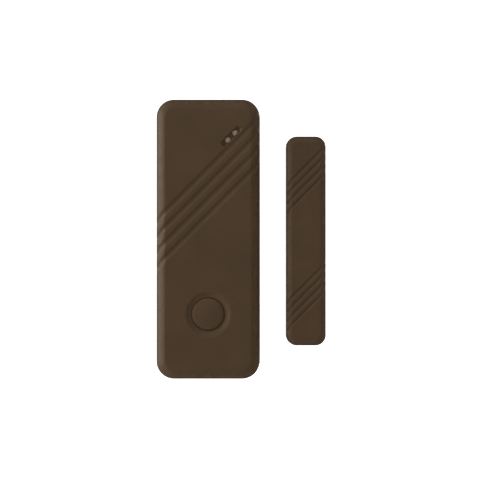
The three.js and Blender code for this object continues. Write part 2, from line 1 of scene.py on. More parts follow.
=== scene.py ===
"""The looks of a wireless door contact: a sensor with a panic button and two lights, and its magnet unit.

Shapes are drawn lying on their back, in millimetres: x across the case, y up its length, z out of the
wall. upright() turns them into the frame's way up, where y has become z and z has become -y.
"""

import itertools
import math
from types import SimpleNamespace as Sizes

import bpy
import numpy as np
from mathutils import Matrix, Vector, geometry, kdtree


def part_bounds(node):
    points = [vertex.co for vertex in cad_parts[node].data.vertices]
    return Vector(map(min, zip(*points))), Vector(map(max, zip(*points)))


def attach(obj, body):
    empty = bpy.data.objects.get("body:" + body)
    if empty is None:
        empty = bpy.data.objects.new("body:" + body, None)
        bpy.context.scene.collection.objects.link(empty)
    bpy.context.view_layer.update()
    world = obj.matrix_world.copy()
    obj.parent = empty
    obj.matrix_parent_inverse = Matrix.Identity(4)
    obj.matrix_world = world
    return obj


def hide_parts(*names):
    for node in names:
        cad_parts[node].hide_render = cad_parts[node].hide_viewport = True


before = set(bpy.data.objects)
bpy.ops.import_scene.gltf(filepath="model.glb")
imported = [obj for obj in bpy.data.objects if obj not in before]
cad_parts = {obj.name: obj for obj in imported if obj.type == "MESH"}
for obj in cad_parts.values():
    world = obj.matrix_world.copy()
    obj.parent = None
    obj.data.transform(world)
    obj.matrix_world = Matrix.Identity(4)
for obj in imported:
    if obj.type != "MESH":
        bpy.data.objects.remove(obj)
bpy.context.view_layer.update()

MM = 0.001
WELD = 1e-4  # millimetres within which two points are one
TURN = 2 * math.pi
SHARP = math.radians(35)  # a line that turns further than this has a corner
ROUND = 48  # points round a circle
BEND = np.linspace(0, TURN / 4, 5)  # the steps over a rounded edge
HOLE_MARGIN = 0.08  # how far the lines along a face stay off its holes
WIRE_END = 0.3  # how far a wire's end bulges, in half thicknesses
STANDING = np.array(((1, 0, 0), (0, 0, -1), (0, 1, 0)))  # y now stands up, and z points to -y
ALONG_Y = STANDING.T  # what stood up now lies along y
BACK, FRONT, MAGNET_BACK = "sensor_back_half", "sensor_front_half", "magnet_back_half"

# ---- Points, loops and curves


class Room:
    """The room that a CAD node takes up, drawn lying down, in millimetres."""

    def __init__(self, node):
        low, high = (np.array(corner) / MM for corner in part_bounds(node))
        self.low = np.array((low[0], low[2], -high[1]))
        self.high = np.array((high[0], high[2], -low[1]))
        self.middle = (self.low + self.high) / 2
        self.half = (self.high - self.low) / 2
        self.place = self.middle[:2]
        self.foot, self.top = self.low[2], self.high[2]


def upright(points):
    """Drawn directions or points as the frame's, without the change of unit."""
    x, y, z = np.asarray(points, float).reshape(-1, 3).T
    return np.column_stack((x, -z, y))


def smooth_step(value):
    share = np.clip(value, 0, 1)
    return share * share * (3 - 2 * share)


def bell(value):
    """1 at 0, and falling smoothly to 0 at 1 on both sides."""
    return 0.5 + 0.5 * np.cos(math.pi * np.clip(value, -1, 1))


def peak(value, middle, reach):
    """1 in the middle, and falling straight to 0 within a reach on both sides."""
    return np.clip(1 - np.abs(value - middle) / reach, 0, 1)


def unit(vectors):
    return vectors / np.maximum(np.linalg.norm(vectors, axis=-1, keepdims=True), 1e-12)


def ways(angle):
    """Unit vectors at angles."""
    return np.column_stack((np.cos(angle), np.sin(angle)))


def lefts(steps):
    """Unit vectors to the left of flat steps."""
    return unit(np.column_stack((-steps[:, 1], steps[:, 0])))


def spun(points, tilt):
    """Flat points turned counter-clockwise about the origin."""
    cos, sin = math.cos(tilt), math.sin(tilt)
    return np.asarray(points) @ np.array(((cos, sin), (-sin, cos)))


def at_height(line, z):
    return np.column_stack((line, np.full(len(line), z)))


def closed(loop):
    return np.concatenate((loop, loop[:1]))


def circle(place, radius, count=ROUND):
    return place + radius * ways(np.arange(count) * TURN / count)


def rectangle(place, half):
    """Four corners, counter-clockwise."""
    return np.array(((-1, -1), (1, -1), (1, 1), (-1, 1))) * half + place


def rounded_box(place, half, radius, steps=8):
    """A rounded rectangle's outline, from the upper end of its right side, counter-clockwise."""
    centres = np.roll(rectangle(place, np.asarray(half) - radius), -2, axis=0)
    share = np.linspace(0, 1, steps + 1)
    return np.concatenate([at + radius * ways((i + share) * TURN / 4) for i, at in enumerate(centres)])


def capsule(place, length, radius, tilt, steps=12):
    """A slot's outline. Its length runs from the middle of one round end to the middle of the other."""
    end = (length / 2, 0) + radius * ways(np.linspace(-TURN / 4, TURN / 4, steps + 1))
    return spun(np.concatenate((end, -end)), tilt) + place


def finer(loop, step):
    """A loop with points added so that none is further than a step from the next."""
    points = []
    for here, there in zip(loop, np.roll(loop, -1, axis=0)):
        count = max(1, math.ceil(np.linalg.norm(there - here) / step))
        points += [here + (there - here) * i / count for i in range(count)]
    return np.array(points)


def softened(corners, radius=0, loop=True):
    """A line with its corners rounded, as far as there is room. A third value is a corner's own radius."""
    radii = [corner[2] if len(corner) > 2 else radius for corner in corners]
    corners = np.array([corner[:2] for corner in corners], float)
    share = np.linspace(0, 1, len(BEND))[:, None]
    points = []
    for i, corner in enumerate(corners):
        if not radii[i] or not loop and i in (0, len(corners) - 1):
            points.append(corner)
            continue
        arms = np.array((corners[i - 1], corners[(i + 1) % len(corners)])) - corner
        back, on = unit(arms)
        half_angle = math.acos(np.clip(back @ on, -1, 1)) / 2
        reach = min(radii[i] / math.tan(half_angle), 0.45 * np.linalg.norm(arms, axis=1).min())
        points += list(corner + reach * (back * (1 - share) ** 2 + on * share ** 2))
    return np.array(points)


def inset(loop, distance):
    """A closed loop moved towards its left."""
    both = lefts(loop - np.roll(loop, 1, axis=0)) + lefts(np.roll(loop, -1, axis=0) - loop)
    return loop + both * (2 * distance / (both ** 2).sum(axis=1))[:, None]


def smooth_runs(line, loop):
    """The stretches of a flat line between its sharp corners, as indices."""
    heading = np.arctan2(*np.diff(closed(line) if loop else line, axis=0).T[::-1])
    turns = np.diff(heading)
    turns = np.array((heading[0] - heading[-1], *turns) if loop else (math.pi, *turns, math.pi))
    corners = np.flatnonzero(np.abs((turns + math.pi) % TURN - math.pi) > SHARP)
    if loop and not len(corners):
        return [np.append(np.arange(len(line)), 0)]
    if loop:
        corners = np.append(corners, corners[0] + len(line))
    return [np.arange(a, b + 1) % len(line) for a, b in zip(corners[:-1], corners[1:])]


def within(points, loops):
    """Which points lie inside an odd number of the loops."""
    x, y = points[:, 0:1], points[:, 1:2]
    odd = np.zeros(len(points), bool)
    for loop in loops:
        (ax, ay), (bx, by) = loop.T, np.roll(loop, -1, axis=0).T
        spans = (ay > y) != (by > y)
        crossing = ax + (y - ay) * (bx - ax) / np.where(by == ay, 1, by - ay)
        odd ^= ((spans & (x < crossing)).sum(axis=1) % 2).astype(bool)
    return odd


def clear_of(line, holes):
    """The stretches of a line that stay a little way off some round holes."""
    clear = np.ones(len(line), int)
    for hole in holes:
        middle = hole.mean(axis=0)
        clear &= np.linalg.norm(line - middle, axis=1) > np.linalg.norm(hole[0] - middle) + HOLE_MARGIN
    ends = np.flatnonzero(np.diff(np.concatenate(([0], clear, [0]))))
    return [line[start:end] for start, end in zip(ends[::2], ends[1::2]) if end - start > 1]


def triangulate(bounds, guides=()):
    """Fills the plane between closed loops, with edges along the guides. Returns points and triangles."""
    points, edges = [], []
    for line in [closed(loop) for loop in bounds] + list(guides):
        edges += [(len(points) + i, len(points) + i + 1) for i in range(len(line) - 1)]
        points += [Vector(p) for p in line]
    found, _, faces, *_ = geometry.delaunay_2d_cdt(points, edges, [], 0, WELD / 10)
    found, faces = np.array([tuple(v) for v in found]), np.array(faces)
    return found, faces[within(found[faces].mean(axis=1), bounds)]


def same_place(points):
    """For each point, the first point at the same place."""
    tree = kdtree.KDTree(len(points))
    for i, point in enumerate(points):
        tree.insert(point, i)
    tree.balance()
    first = np.full(len(points), -1)
    for i, point in enumerate(points):
        if first[i] < 0:
            near = [j for _, j, _ in tree.find_range(point, WELD)]
            first[near] = np.where(first[near] < 0, i, first[near])
    return first


def side_section(low, high, round_low=0.0, round_high=0.0):
    """The side of a solid with rounded edges, from the bottom up, as rows of [how far in, height, wear]."""
    def edge(z, radius, way):
        bend = BEND if radius else BEND[:1]
        return list(zip(radius * (1 - np.sin(bend)), z + way * radius * (1 - np.cos(bend)), np.sin(2 * bend)))

    return edge(low, round_low, 1) + edge(high, round_high, -1)[::-1]


# ---- Skins


class Skin:
    """A closed surface gathered from patches, each smooth in itself and sharp where it meets another."""

    def __init__(self):
        self.points, self.normals, self.wear, self.faces = [], [], [], []

    def take(self, points, normals, wear, faces):
        self.faces += [[len(self.points) + index for index in face] for face in faces]
        self.points += list(points)
        self.normals += list(normals)
        self.wear += list(wear)
        return self

    def join(self, other):
        return self.take(other.points, other.normals, other.wear, other.faces)

    def add(self, points, faces, flip=False, wear=0.0):
        """A patch of triangles and quads."""
        points = np.asarray(points, float)
        faces = [list(face)[::-1] if flip else list(face) for face in faces]
        normals = np.zeros_like(points)
        for face in faces:
            a, b, c, d = points[[*face[:3], face[-1]]]
            normals[face] += np.cross(c - a, d - b)
        return self.take(points, unit(normals), np.broadcast_to(wear, len(points)), faces)

    def rows(self, rows, wear=0.0):
        """A grid of quads over rows of points. It closes round where every row ends at its start."""
        around = all(np.allclose(row[0], row[-1]) for row in rows)
        if around:
            rows = [row[:-1] for row in rows]
        count = len(rows[0])
        faces = []
        for row in range(0, (len(rows) - 1) * count, count):
            for i in range(count if around else count - 1):
                j = (i + 1) % count
                faces.append((row + i, row + j, row + count + j, row + count + i))
        wear = np.repeat(np.broadcast_to(wear, len(rows)), count)
        return self.add(np.concatenate(rows), faces, wear=wear)

    def side(self, loop, section):
        """The side over a loop, which has the solid on its left, along a side_section."""
        away, height, wear = zip(*section)
        for run in smooth_runs(loop, True):
            self.rows([at_height(inset(loop, a)[run], z) for a, z in zip(away, height)], wear)
        return self

    def sheet(self, bounds, z, up=True):
        """A level sheet between closed loops."""
        flat, faces = triangulate(bounds)
        return self.add(at_height(flat, z), faces, flip=not up)

    def prism(self, loops, low, high, round_low=0.0, round_high=0.0, gaps=(), ends=(True, True)):
        """An upright solid. Its loops have it on their left. The gaps are left open in its ends."""
        for loop in loops:
            self.side(loop, side_section(low, high, round_low, round_high))
        for end, z, radius, up in zip(ends, (low, high), (round_low, round_high), (False, True)):
            if end:
                self.sheet([inset(loop, radius) for loop in loops] + list(gaps), z, up)
        return self

    def turn(self, outline, place=(0, 0), count=ROUND, loop=False):
        """A round surface about z, from an outline of [radius, height] with its outside on the right."""
        outline = np.asarray(outline, float)
        for run in smooth_runs(outline, loop):
            self.rows([at_height(closed(circle(place, radius, count)), z) for radius, z in outline[run]])
        return self

    def lathe(self, corners, place=(0, 0), count=ROUND, loop=False):
        """A round surface about z, from corners of [radius, height, rounding]."""
        return self.turn(softened(corners, loop=loop), place, count, loop)

    def pit(self, place, radius, z, depth, up=True):
        """A shallow round recess in a level sheet. Returns its loop, which the sheet leaves open."""
        sunk = z - depth if up else z + depth
        outline = [(radius, z), (radius, sunk), (0, sunk)]
        self.turn(outline if up else outline[::-1], place)
        return circle(place, radius)

    def ridge(self, profile, y_low, y_high):
        """A rib whose section is a line of [x, z], from left to right, with both ends on a level sheet.

        Returns the loop that the sheet leaves open.
        """
        for run in smooth_runs(profile, False):
            self.rows([np.insert(profile[run], 1, y, axis=1) for y in (y_low, y_high)])
        flat, faces = triangulate([profile])
        for y, flip in ((y_low, False), (y_high, True)):
            self.add(np.insert(flat, 1, y, axis=1), faces, flip)
        left, right = profile[0][0], profile[-1][0]
        return np.array(((left, y_low), (right, y_low), (right, y_high), (left, y_high)))

    def ribs(self, size, low, high, rounding, hanging):
        """Ribs that hang from a roof or stand on a floor. Returns the loops where they do."""
        loops = [rectangle(place, size.half) for place in size.places]
        ends, roundings = ((True, False), (rounding, 0)) if hanging else ((False, True), (0, rounding))
        for loop in loops:
            self.prism([loop], low, high, *roundings, ends=ends)
        return loops

    def wire(self, path, sizes, across, sides=12):
        """A wire along points in space, with one half width and half thickness, or those at each point."""
        sizes = np.broadcast_to(sizes, (len(path), 2))
        along = unit(np.gradient(path, axis=0))
        angle = np.append(np.arange(sides), 0)[:, None] * TURN / sides
        rings = []
        for ahead, (wide, thick) in zip(along, sizes):
            across = unit(across - ahead * np.dot(across, ahead))
            rings.append(across * wide * np.cos(angle) + np.cross(ahead, across) * thick * np.sin(angle))

        def cap(end, way):
            tip = path[end] + way * WIRE_END * along[end] * sizes[end].min()
            return [tip + rings[end] * share for share in (0, 0.8)]

        length = [point + ring for point, ring in zip(path, rings)]
        return self.rows([*cap(0, -1), *length, *cap(-1, 1)[::-1]])

    def moved(self, *offset):
        self.points = [point + offset for point in self.points]
        return self

    def turned_to(self, matrix):
        """Turns the whole skin by a 3 by 3 rotation."""
        self.points = [matrix @ point for point in self.points]
        self.normals = [matrix @ normal for normal in self.normals]
        return self

    def build(self, name):
        """The skin as a mesh object, stood up in the frame."""
        first, index = np.unique(same_place(self.points), return_inverse=True)
        faces, normals = [], []
        for face in self.faces:
            kept = [i for n, i in enumerate(face) if index[i] != index[face[n - 1]]]
            if len(kept) > 2:
                faces.append([int(index[i]) for i in kept])
                normals += [self.normals[i] for i in kept]
        mesh = bpy.data.meshes.new(name)
        mesh.from_pydata(upright(np.array(self.points)[first]) * MM, [], faces)
        mesh.shade_smooth()
        mesh.normals_split_custom_set(upright(normals))
        wear = mesh.attributes.new("wear", "FLOAT", "POINT")
        wear.data.foreach_set("value", np.array(self.wear)[first].astype(np.float32))
        return linked(name, mesh)

    def piece(self, name, body, finish, *nodes):
        """The skin as a piece that rides on a body and stands for CAD nodes."""
        obj = self.build(name)
        obj.data.materials.append(FINISHES[finish].material)
        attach(obj, body)
        if nodes:
            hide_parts(*nodes)
        return obj


def linked(name, data):
    obj = bpy.data.objects.new(name, data)
    bpy.context.scene.collection.objects.link(obj)
    return obj


# ---- Materials


class Shader:
    """A node material in the making. Sockets are given by name, as values or other nodes' outputs."""

    def __init__(self, name):
        self.material = bpy.data.materials.new(name)
        self.material.use_nodes = True
        self.tree = self.material.node_tree
        self.surface = self.tree.nodes["Principled BSDF"]
        self.place = self.node("TexCoord").outputs["Object"]

    def node(self, kind, settings=None, **inputs):
        made = self.tree.nodes.new("ShaderNode" + kind)
        for key, value in (settings or {}).items():
            setattr(made, key, value)
        for key, value in inputs.items():
            self.plug(made, key.replace("_", " "), value)
        return made

    def plug(self, node, key, value):
        if isinstance(value, bpy.types.NodeSocket):
            self.tree.links.new(value, node.inputs[key])
        else:
            node.inputs[key].default_value = value

    def set(self, **inputs):
        for key, value in inputs.items():
            self.plug(self.surface, key.replace("_", " "), value)
        return self

    def noise(self, size, detail=2.0, roughness=0.5, stretch=(1, 1, 1)):
        """Noise with features of a size in millimetres."""
        place = self.node("Mapping", Vector=self.place, Scale=stretch).outputs[0]
        made = self.node("TexNoise", Vector=place, Scale=1 / (size * MM), Detail=detail, Roughness=roughness)
        return made.outputs["Fac"]

    def ranged(self, value, low, high, from_low=0.3, from_high=0.7):
        limits = {"From_Min": from_low, "From_Max": from_high, "To_Min": low, "To_Max": high}
        return self.node("MapRange", Value=value, **limits).outputs["Result"]

    def mix(self, share, first, second):
        made = self.node("Mix", {"data_type": "RGBA"})
        for key, value in ((0, share), (6, first), (7, second)):
            self.plug(made, key, value)
        return made.outputs[2]

    def times(self, first, second):
        made = self.node("Math", {"operation": "MULTIPLY"})
        self.plug(made, 0, first)
        self.plug(made, 1, second)
        return made.outputs[0]

    def bump(self, height, depth, **before):
        """A bump of a depth in millimetres over a height from 0 to 1."""
        made = self.node("Bump", Height=height, Distance=depth * MM, Strength=1.0, **before)
        return made.outputs["Normal"]

    def mixed_by_wear_and_shade(self, base, other, share, ends):
        """A colour that turns into another by the piece's rubbing, dirt and painted shade, read between the
        ends given.
        """
        wear = self.node("Attribute", {"attribute_name": "wear"}).outputs["Fac"]
        return self.mix(self.times(self.ranged(wear, *ends), share), base, other)


RUBBED, DIRT_AND_SHADE = (0, 1, 0, 1), (1, 0, -1, 0)  # wear is 1 where the piece is rubbed, and -1 where dirt and painted shade darken its grooves and light slot


def colour(red, green, blue):
    """An sRGB colour from 0 to 255, as linear light."""
    linear = [((c / 255 + 0.055) / 1.055) ** 2.4 if c > 10 else c / 255 / 12.92 for c in (red, green, blue)]
    return (*linear, 1.0)


def mottled(name, dark, light, rough, size=3.0, grain=0.3, depth=0.008, stretch=(1, 1, 1), **sockets):
    """A finish whose colour and roughness wander between two values, with a fine grain and rubbed edges."""
    shader = Shader(name)
    clouds = shader.ranged(shader.noise(size, 3, stretch=stretch), 0, 1)
    patchy = shader.ranged(shader.noise(0.7, 3), 0.1, 0.9, 0.35, 0.65)
    rubbed = colour(*(min(255, channel + 30) for channel in light))
    base = shader.mixed_by_wear_and_shade(shader.mix(clouds, colour(*dark), colour(*light)), rubbed, patchy, RUBBED)
    shader.set(Base_Color=base, Roughness=shader.ranged(shader.noise(size / 4, 4, stretch=stretch), *rough))
    return shader.set(Normal=shader.bump(shader.noise(grain, stretch=stretch), depth), **sockets)


def brown_plastic():
    """Moulded plastic: cloudy, speckled and grained, with scuffed edges, and dirt and painted shade in its
    grooves and slot.
    """
    shader = Shader("moulded_brown_abs")
    base = shader.mix(shader.ranged(shader.noise(14, 3), 0, 1), colour(60, 44, 26), colour(67, 50, 31))
    base = shader.mix(shader.ranged(shader.noise(0.5, 3, 0.7), 0, 0.4), base, colour(74, 57, 38))
    scuffs = shader.ranged(shader.noise(1.6, 4, 0.65), 0, 0.45, 0.4, 0.65)
    base = shader.mixed_by_wear_and_shade(base, colour(98, 80, 58), scuffs, RUBBED)
    # dirt and painted shade: a dark brown mixed in where the grooves and the light slot sink
    base = shader.mixed_by_wear_and_shade(base, colour(38, 26, 16), shader.ranged(shader.noise(1.1, 3), 0.55, 1.0), DIRT_AND_SHADE)
    grain = shader.bump(shader.noise(0.42, 3, 0.65), 0.04)
    waves = shader.bump(shader.noise(9, 1), 0.02, Normal=grain)
    rough = shader.ranged(shader.noise(0.8, 3), 0.5, 0.62)
    return shader.set(Base_Color=base, Roughness=rough, Normal=waves, IOR=1.5, Specular_IOR_Level=0.2)


def foam_tape():
    """Foam with open pores."""
    shader = mottled("white_foam_tape", (222, 219, 210), (232, 229, 220), (0.85, 0.95), size=1.5)
    pores = shader.node("TexVoronoi", Vector=shader.place, Scale=1 / (0.35 * MM), Randomness=1.0)
    height = shader.ranged(pores.outputs["Distance"], 0, 1, 0.05, 0.4)
    return shader.set(Normal=shader.bump(height, 0.05), Specular_IOR_Level=0.2)


def fibreglass():
    """Green solder mask, with the weave of the glass cloth showing faintly through it."""
    shader = mottled("green_solder_mask", (17, 78, 43), (25, 92, 52), (0.28, 0.42), size=6)
    cloth = {"Vector": shader.place, "Scale": 1 / (1.9 * MM)}
    weave = [shader.node("TexWave", {"bands_direction": way}, **cloth).outputs["Fac"] for way in "XZ"]
    return shader.set(Normal=shader.bump(shader.times(*weave), 0.012), Coat_Weight=0.3, Coat_Roughness=0.2)


def battery_sleeve():
    """A printed shrink sleeve: dark, with a plain warm band towards the positive end."""
    shader = mottled("battery_sleeve", (52, 55, 62), (62, 66, 74), (0.25, 0.38), size=2.5, depth=0.004)
    plain = shader.surface.inputs["Base Color"].links[0].from_socket
    foil = shader.mix(shader.ranged(shader.noise(1.2, 3), 0, 1), colour(150, 96, 52), colour(170, 112, 64))
    height = shader.node("SeparateXYZ", Vector=shader.place).outputs["Z"]
    base = shader.mix(shader.ranged(height, 0, 1, 4.6 * MM, 4.7 * MM), plain, foil)
    return shader.set(Base_Color=base, Metallic=0.35, Coat_Weight=0.5, Coat_Roughness=0.15)


METAL = {"Metallic": 1.0}
GUIDE_RESIN = {"depth": 0.004, "Transmission_Weight": 0.35, "IOR": 1.49, "Specular_IOR_Level": 0.3}
LENS = {"depth": 0.003, "Transmission_Weight": 0.5, "IOR": 1.5}
GLASS = {"grain": 2, "depth": 0.001, "Transmission_Weight": 0.96, "IOR": 1.5}
FERRITE = {"grain": 0.25, "depth": 0.03, "Specular_IOR_Level": 0.5}
MOTTLED = {  # for each finish: its name, darkest and lightest colour, roughness, size of its clouds, and more
    "clear_resin": ("light_guide_resin", (140, 118, 98), (156, 134, 112), (0.22, 0.34), 1.5, GUIDE_RESIN),
    "plated_steel": ("zinc_plated_steel", (150, 151, 150), (176, 176, 172), (0.28, 0.45), 1.2, METAL),
    "nickel": ("nickel_plate", (172, 168, 158), (196, 192, 182), (0.2, 0.34), 1.5, {"depth": 0.004, **METAL}),
    "bare_aluminium": ("drawn_aluminium", (178, 179, 182), (200, 201, 204), (0.26, 0.4), 1.4,
                       {"stretch": (1, 6, 1), **METAL}),
    "copper_wire": ("enamelled_copper", (168, 92, 50), (194, 112, 64), (0.18, 0.3), 0.8,
                    {"Coat_Weight": 0.6, **METAL}),
    "reed_glass": ("reed_glass", (226, 238, 230), (236, 244, 239), (0.02, 0.05), 3, GLASS),
    "black_resin": ("black_moulding", (22, 22, 24), (34, 34, 36), (0.42, 0.58), 1, {"depth": 0.012}),
    "ivory_resin": ("ivory_moulding", (206, 201, 184), (222, 217, 201), (0.4, 0.52), 1.5, {}),
    "red_resin": ("red_lens", (176, 34, 26), (196, 48, 36), (0.1, 0.2), 3, LENS),
    "green_resin": ("green_lens", (40, 128, 54), (58, 148, 70), (0.1, 0.2), 3, LENS),
    "ferrite": ("sintered_ferrite", (38, 38, 40), (54, 54, 57), (0.55, 0.75), 1.2, FERRITE),
    "tin": ("tinned_copper", (160, 160, 158), (190, 190, 186), (0.25, 0.45), 0.6, {"depth": 0.01, **METAL}),
    "track": ("masked_track", (32, 112, 62), (42, 128, 72), (0.25, 0.4), 2, {}),
    "tan_ceramic": ("tan_ceramic", (150, 116, 80), (172, 136, 98), (0.5, 0.65), 0.6, {}),
}
FINISHES = {finish: mottled(*values, **more) for finish, (*values, more) in MOTTLED.items()}
FINISHES.update(brown_plastic=brown_plastic(), foam_tape=foam_tape(), fibreglass=fibreglass(),
                battery_sleeve=battery_sleeve())

# ---- The two covers

CORNER_STEPS, EDGE_STEPS, PROFILE_STEPS = 14, 14, 96
FOOT_ROUND = 0.25  # the rounding of a cover's lower rim
GROOVE_LINES = (-1.2, *np.linspace(-1, 1, 13), 1.2)  # where lines run along a groove, in half widths
GROOVES_IN_GROUP = 4
# The last two darken the grooves and the light slot with dirt and painted shade.
GROOVE_RUB, EDGE_RUB, DISH_RUB, GROOVE_DIRT_AND_SHADE, SLOT_DIRT_AND_SHADE = 0.1, 0.6, 0.3, 0.15, 0.3
BEAD = Sizes(places=(-26, 26), half=4, fade=0.6, z=5.0, tall=0.4, proud=0.2, dent=0.12)
BEAD_HEIGHTS = BEAD.z + np.linspace(-1, 1, 9) * BEAD.tall
SNAP_STEP = 0.6  # how far apart the points are along a wall that carries the beads


class Case:
    """A case's cover: its outline, its rounded front edge, and its face unrolled flat.

    On the unrolled face, a point past the flat part is as far over the rounded edge and down the side as it
    is past the flat part. So a straight line there wraps over the edge as a taut thread would.
    """

    def __init__(self, cover, corner, wall, roof, draft, edge_width, edge_depth, fullness):
        room = Room(cover)
        self.place, self.half = room.place, room.half[:2]
        self.foot, self.top = room.foot, room.top
        self.corner, self.wall, self.roof = corner, wall, room.top - roof
        self.core = self.half - corner
        self.flat_radius = corner - draft - edge_width
        angle = np.linspace(0, TURN / 4, PROFILE_STEPS + 1)
        power = 2 / fullness
        drop = edge_depth * (1 - np.clip(np.cos(angle), 0, 1) ** power)
        self.out = np.append(edge_width * np.sin(angle) ** power, edge_width + draft)
        self.height = np.append(self.top - drop, self.foot + FOOT_ROUND)
        self.run = np.append(0, np.cumsum(np.hypot(np.diff(self.out), np.diff(self.height))))
        self.edge_run = self.run[-2]
        slope_out, slope_up = np.gradient(self.out, self.run), np.gradient(self.height, self.run)
        slope_out[0], slope_up[0] = 1, 0
        self.normal_out, self.normal_up = -slope_up, slope_out

    def outline(self, radius):
        """The rounded outline with corners of a radius about the corner centres."""
        return rounded_box((0, 0), self.core + radius, radius, CORNER_STEPS)

    def past_flat(self, points):
        """How far points are past the flat face."""
        return np.linalg.norm(points - np.clip(points, -self.core, self.core), axis=1) - self.flat_radius

    def rolled(self, points, depth):
        """Points of the unrolled face in space, sunk into the surface by a depth."""
        nearest, past = np.clip(points, -self.core, self.core), self.past_flat(points)
        tables = (self.out, self.height, self.normal_out, self.normal_up)
        out, height, lean, up = (np.interp(np.maximum(past, 0), self.run, table) for table in tables)
        length = np.hypot(lean, up)
        reach = self.flat_radius + np.where(past > 0, out, past)
        plan = nearest + unit(points - nearest) * (reach - depth * lean / length)[:, None]
        return np.column_stack((plan, height - depth * up / length))

    def wall_loop(self, away, snaps):
        """A loop inside the outline, with the points that snap beads need."""
        return finer(self.outline(self.corner - away), SNAP_STEP if snaps else 2 * self.half[1])

    def snap_rows(self, loop, proud, snaps):
        """A loop at the beads' heights, bulged outwards where the cover and the base snap together."""
        if not snaps:
            return []
        window = sum(smooth_step((BEAD.half - np.abs(loop[:, 1] - y)) / BEAD.fade) for y in BEAD.places)
        bulge = np.column_stack((np.sign(loop[:, 0]) * proud * window, np.zeros(len(loop))))
        return [at_height(loop + bulge * bell((z - BEAD.z) / BEAD.tall), z) for z in BEAD_HEIGHTS]


class Grooves:
    """Straight grooves on an unrolled face, which climb at 45 degrees and fade out down the sides.

    They are shallower towards the right end, by a share of their depth.
    """

    def __init__(self, case, width, depth, firsts, pitch, fade, shallower):
        self.case, self.reach, self.depth, self.shallower = case, width / 2, depth, shallower
        self.places = [first + i * pitch for first in firsts for i in range(GROOVES_IN_GROUP)]
        self.fade = case.edge_run + np.array(fade)

    def offsets(self, points):
        """How far points are from the middle of each groove, in half widths."""
        across = (points[:, 1] - points[:, 0]) / math.sqrt(2)
        return [(across - place) / self.reach for place in self.places]

    def depth_at(self, points):
        gone = smooth_step((self.case.past_flat(points) - self.fade[0]) / (self.fade[1] - self.fade[0]))
        shallower = 1 - self.shallower * smooth_step(points[:, 0] / self.case.half[0])
        return self.depth * sum(bell(offset) for offset in self.offsets(points)) * shallower * (1 - gone)

    def wear_and_shade_at(self, points, rubbed=0, dirt_and_shade=0):
        """Rubbed on the lips of the grooves, with dirt and painted shade in them, beside other rubbing, dirt
        and painted shade.
        """
        lips = np.clip(sum(peak(np.abs(offset), 0.92, 0.25) for offset in self.offsets(points)), 0, 1)
        return np.maximum(lips * GROOVE_RUB, rubbed) - self.depth_at(points) / self.depth * GROOVE_DIRT_AND_SHADE - dirt_and_shade

    def lines(self, margin, holes):
        """Lines along each groove, from side to side, that stop short of its ends and of any hole."""
        x = np.linspace(-1, 1, 2001) * (self.case.half[0] + self.fade[1])
        lines = []
        for place in self.places:
            for share in GROOVE_LINES:
                points = np.column_stack((x, x + math.sqrt(2) * (place + share * self.reach)))
                kept = points[self.case.past_flat(points) < self.fade[1] - margin]
                lines += [run[[0, -1]] for run in clear_of(kept, holes)]
        return lines


def cover_skin(case, grooves, depth_at, wear_and_shade_at, holes, guides, inner, snaps):
    """A cover: its grooved front rolled over the edges, its rim, and its inside.

    holes are the loops that go right through the roof. inner(skin) adds what hangs under the roof, and
    returns the loops where it hangs.
    """
    skin = Skin()
    edge = np.append(np.linspace(0, 1, EDGE_STEPS + 1) * case.edge_run, grooves.fade)
    rings = [case.outline(case.flat_radius + run) for run in edge]
    guides = [closed(ring) for ring in rings[:-1]] + guides + grooves.lines(0.2, holes)
    flat, faces = triangulate([rings[-1], *holes], guides)
    edge_wear = peak(case.past_flat(flat) / case.edge_run, 0.55, 0.5) * EDGE_RUB
    skin.add(case.rolled(flat, depth_at(flat)), faces, wear=edge_wear + wear_and_shade_at(flat))

    rounding = side_section(case.foot, 0, FOOT_ROUND)[:-1]
    rim = [at_height(closed(case.outline(case.corner - away)), z) for away, z, _ in rounding]
    skin.rows([*rim, closed(case.rolled(rings[-1], 0))])

    inside = case.wall_loop(case.wall, snaps)
    skin.sheet([case.outline(case.corner - FOOT_ROUND), inside], case.foot, up=False)
    dents = case.snap_rows(inside, BEAD.dent, snaps)[::-1]
    skin.rows([closed(row) for row in (at_height(inside, case.roof), *dents, at_height(inside, case.foot))])
    skin.sheet([inside, *holes, *inner(skin)], case.roof, up=False)
    for hole in holes:
        skin.rows([closed(case.rolled(hole, depth_at(hole))), closed(at_height(hole, case.roof))])
    return skin


SENSOR = Case("front_cover", 6.5, wall=1.8, roof=2, draft=0.2, edge_width=3.3, edge_depth=2.6, fullness=1.4)
SENSOR_GROOVES = Grooves(SENSOR, 2.8, 0.42, [6.1], pitch=3.85, fade=(0.3, 2.6), shallower=0.35)
MAGNET = Case("magnet_cover", 3.9, wall=1.3, roof=1.5, draft=0.15, edge_width=2.2, edge_depth=1.6,
              fullness=1.5)
MAGNET_GROOVES = Grooves(MAGNET, 1.6, 0.36, [12.1, -17.5], pitch=2.28, fade=(0.3, 2.2), shallower=0.3)

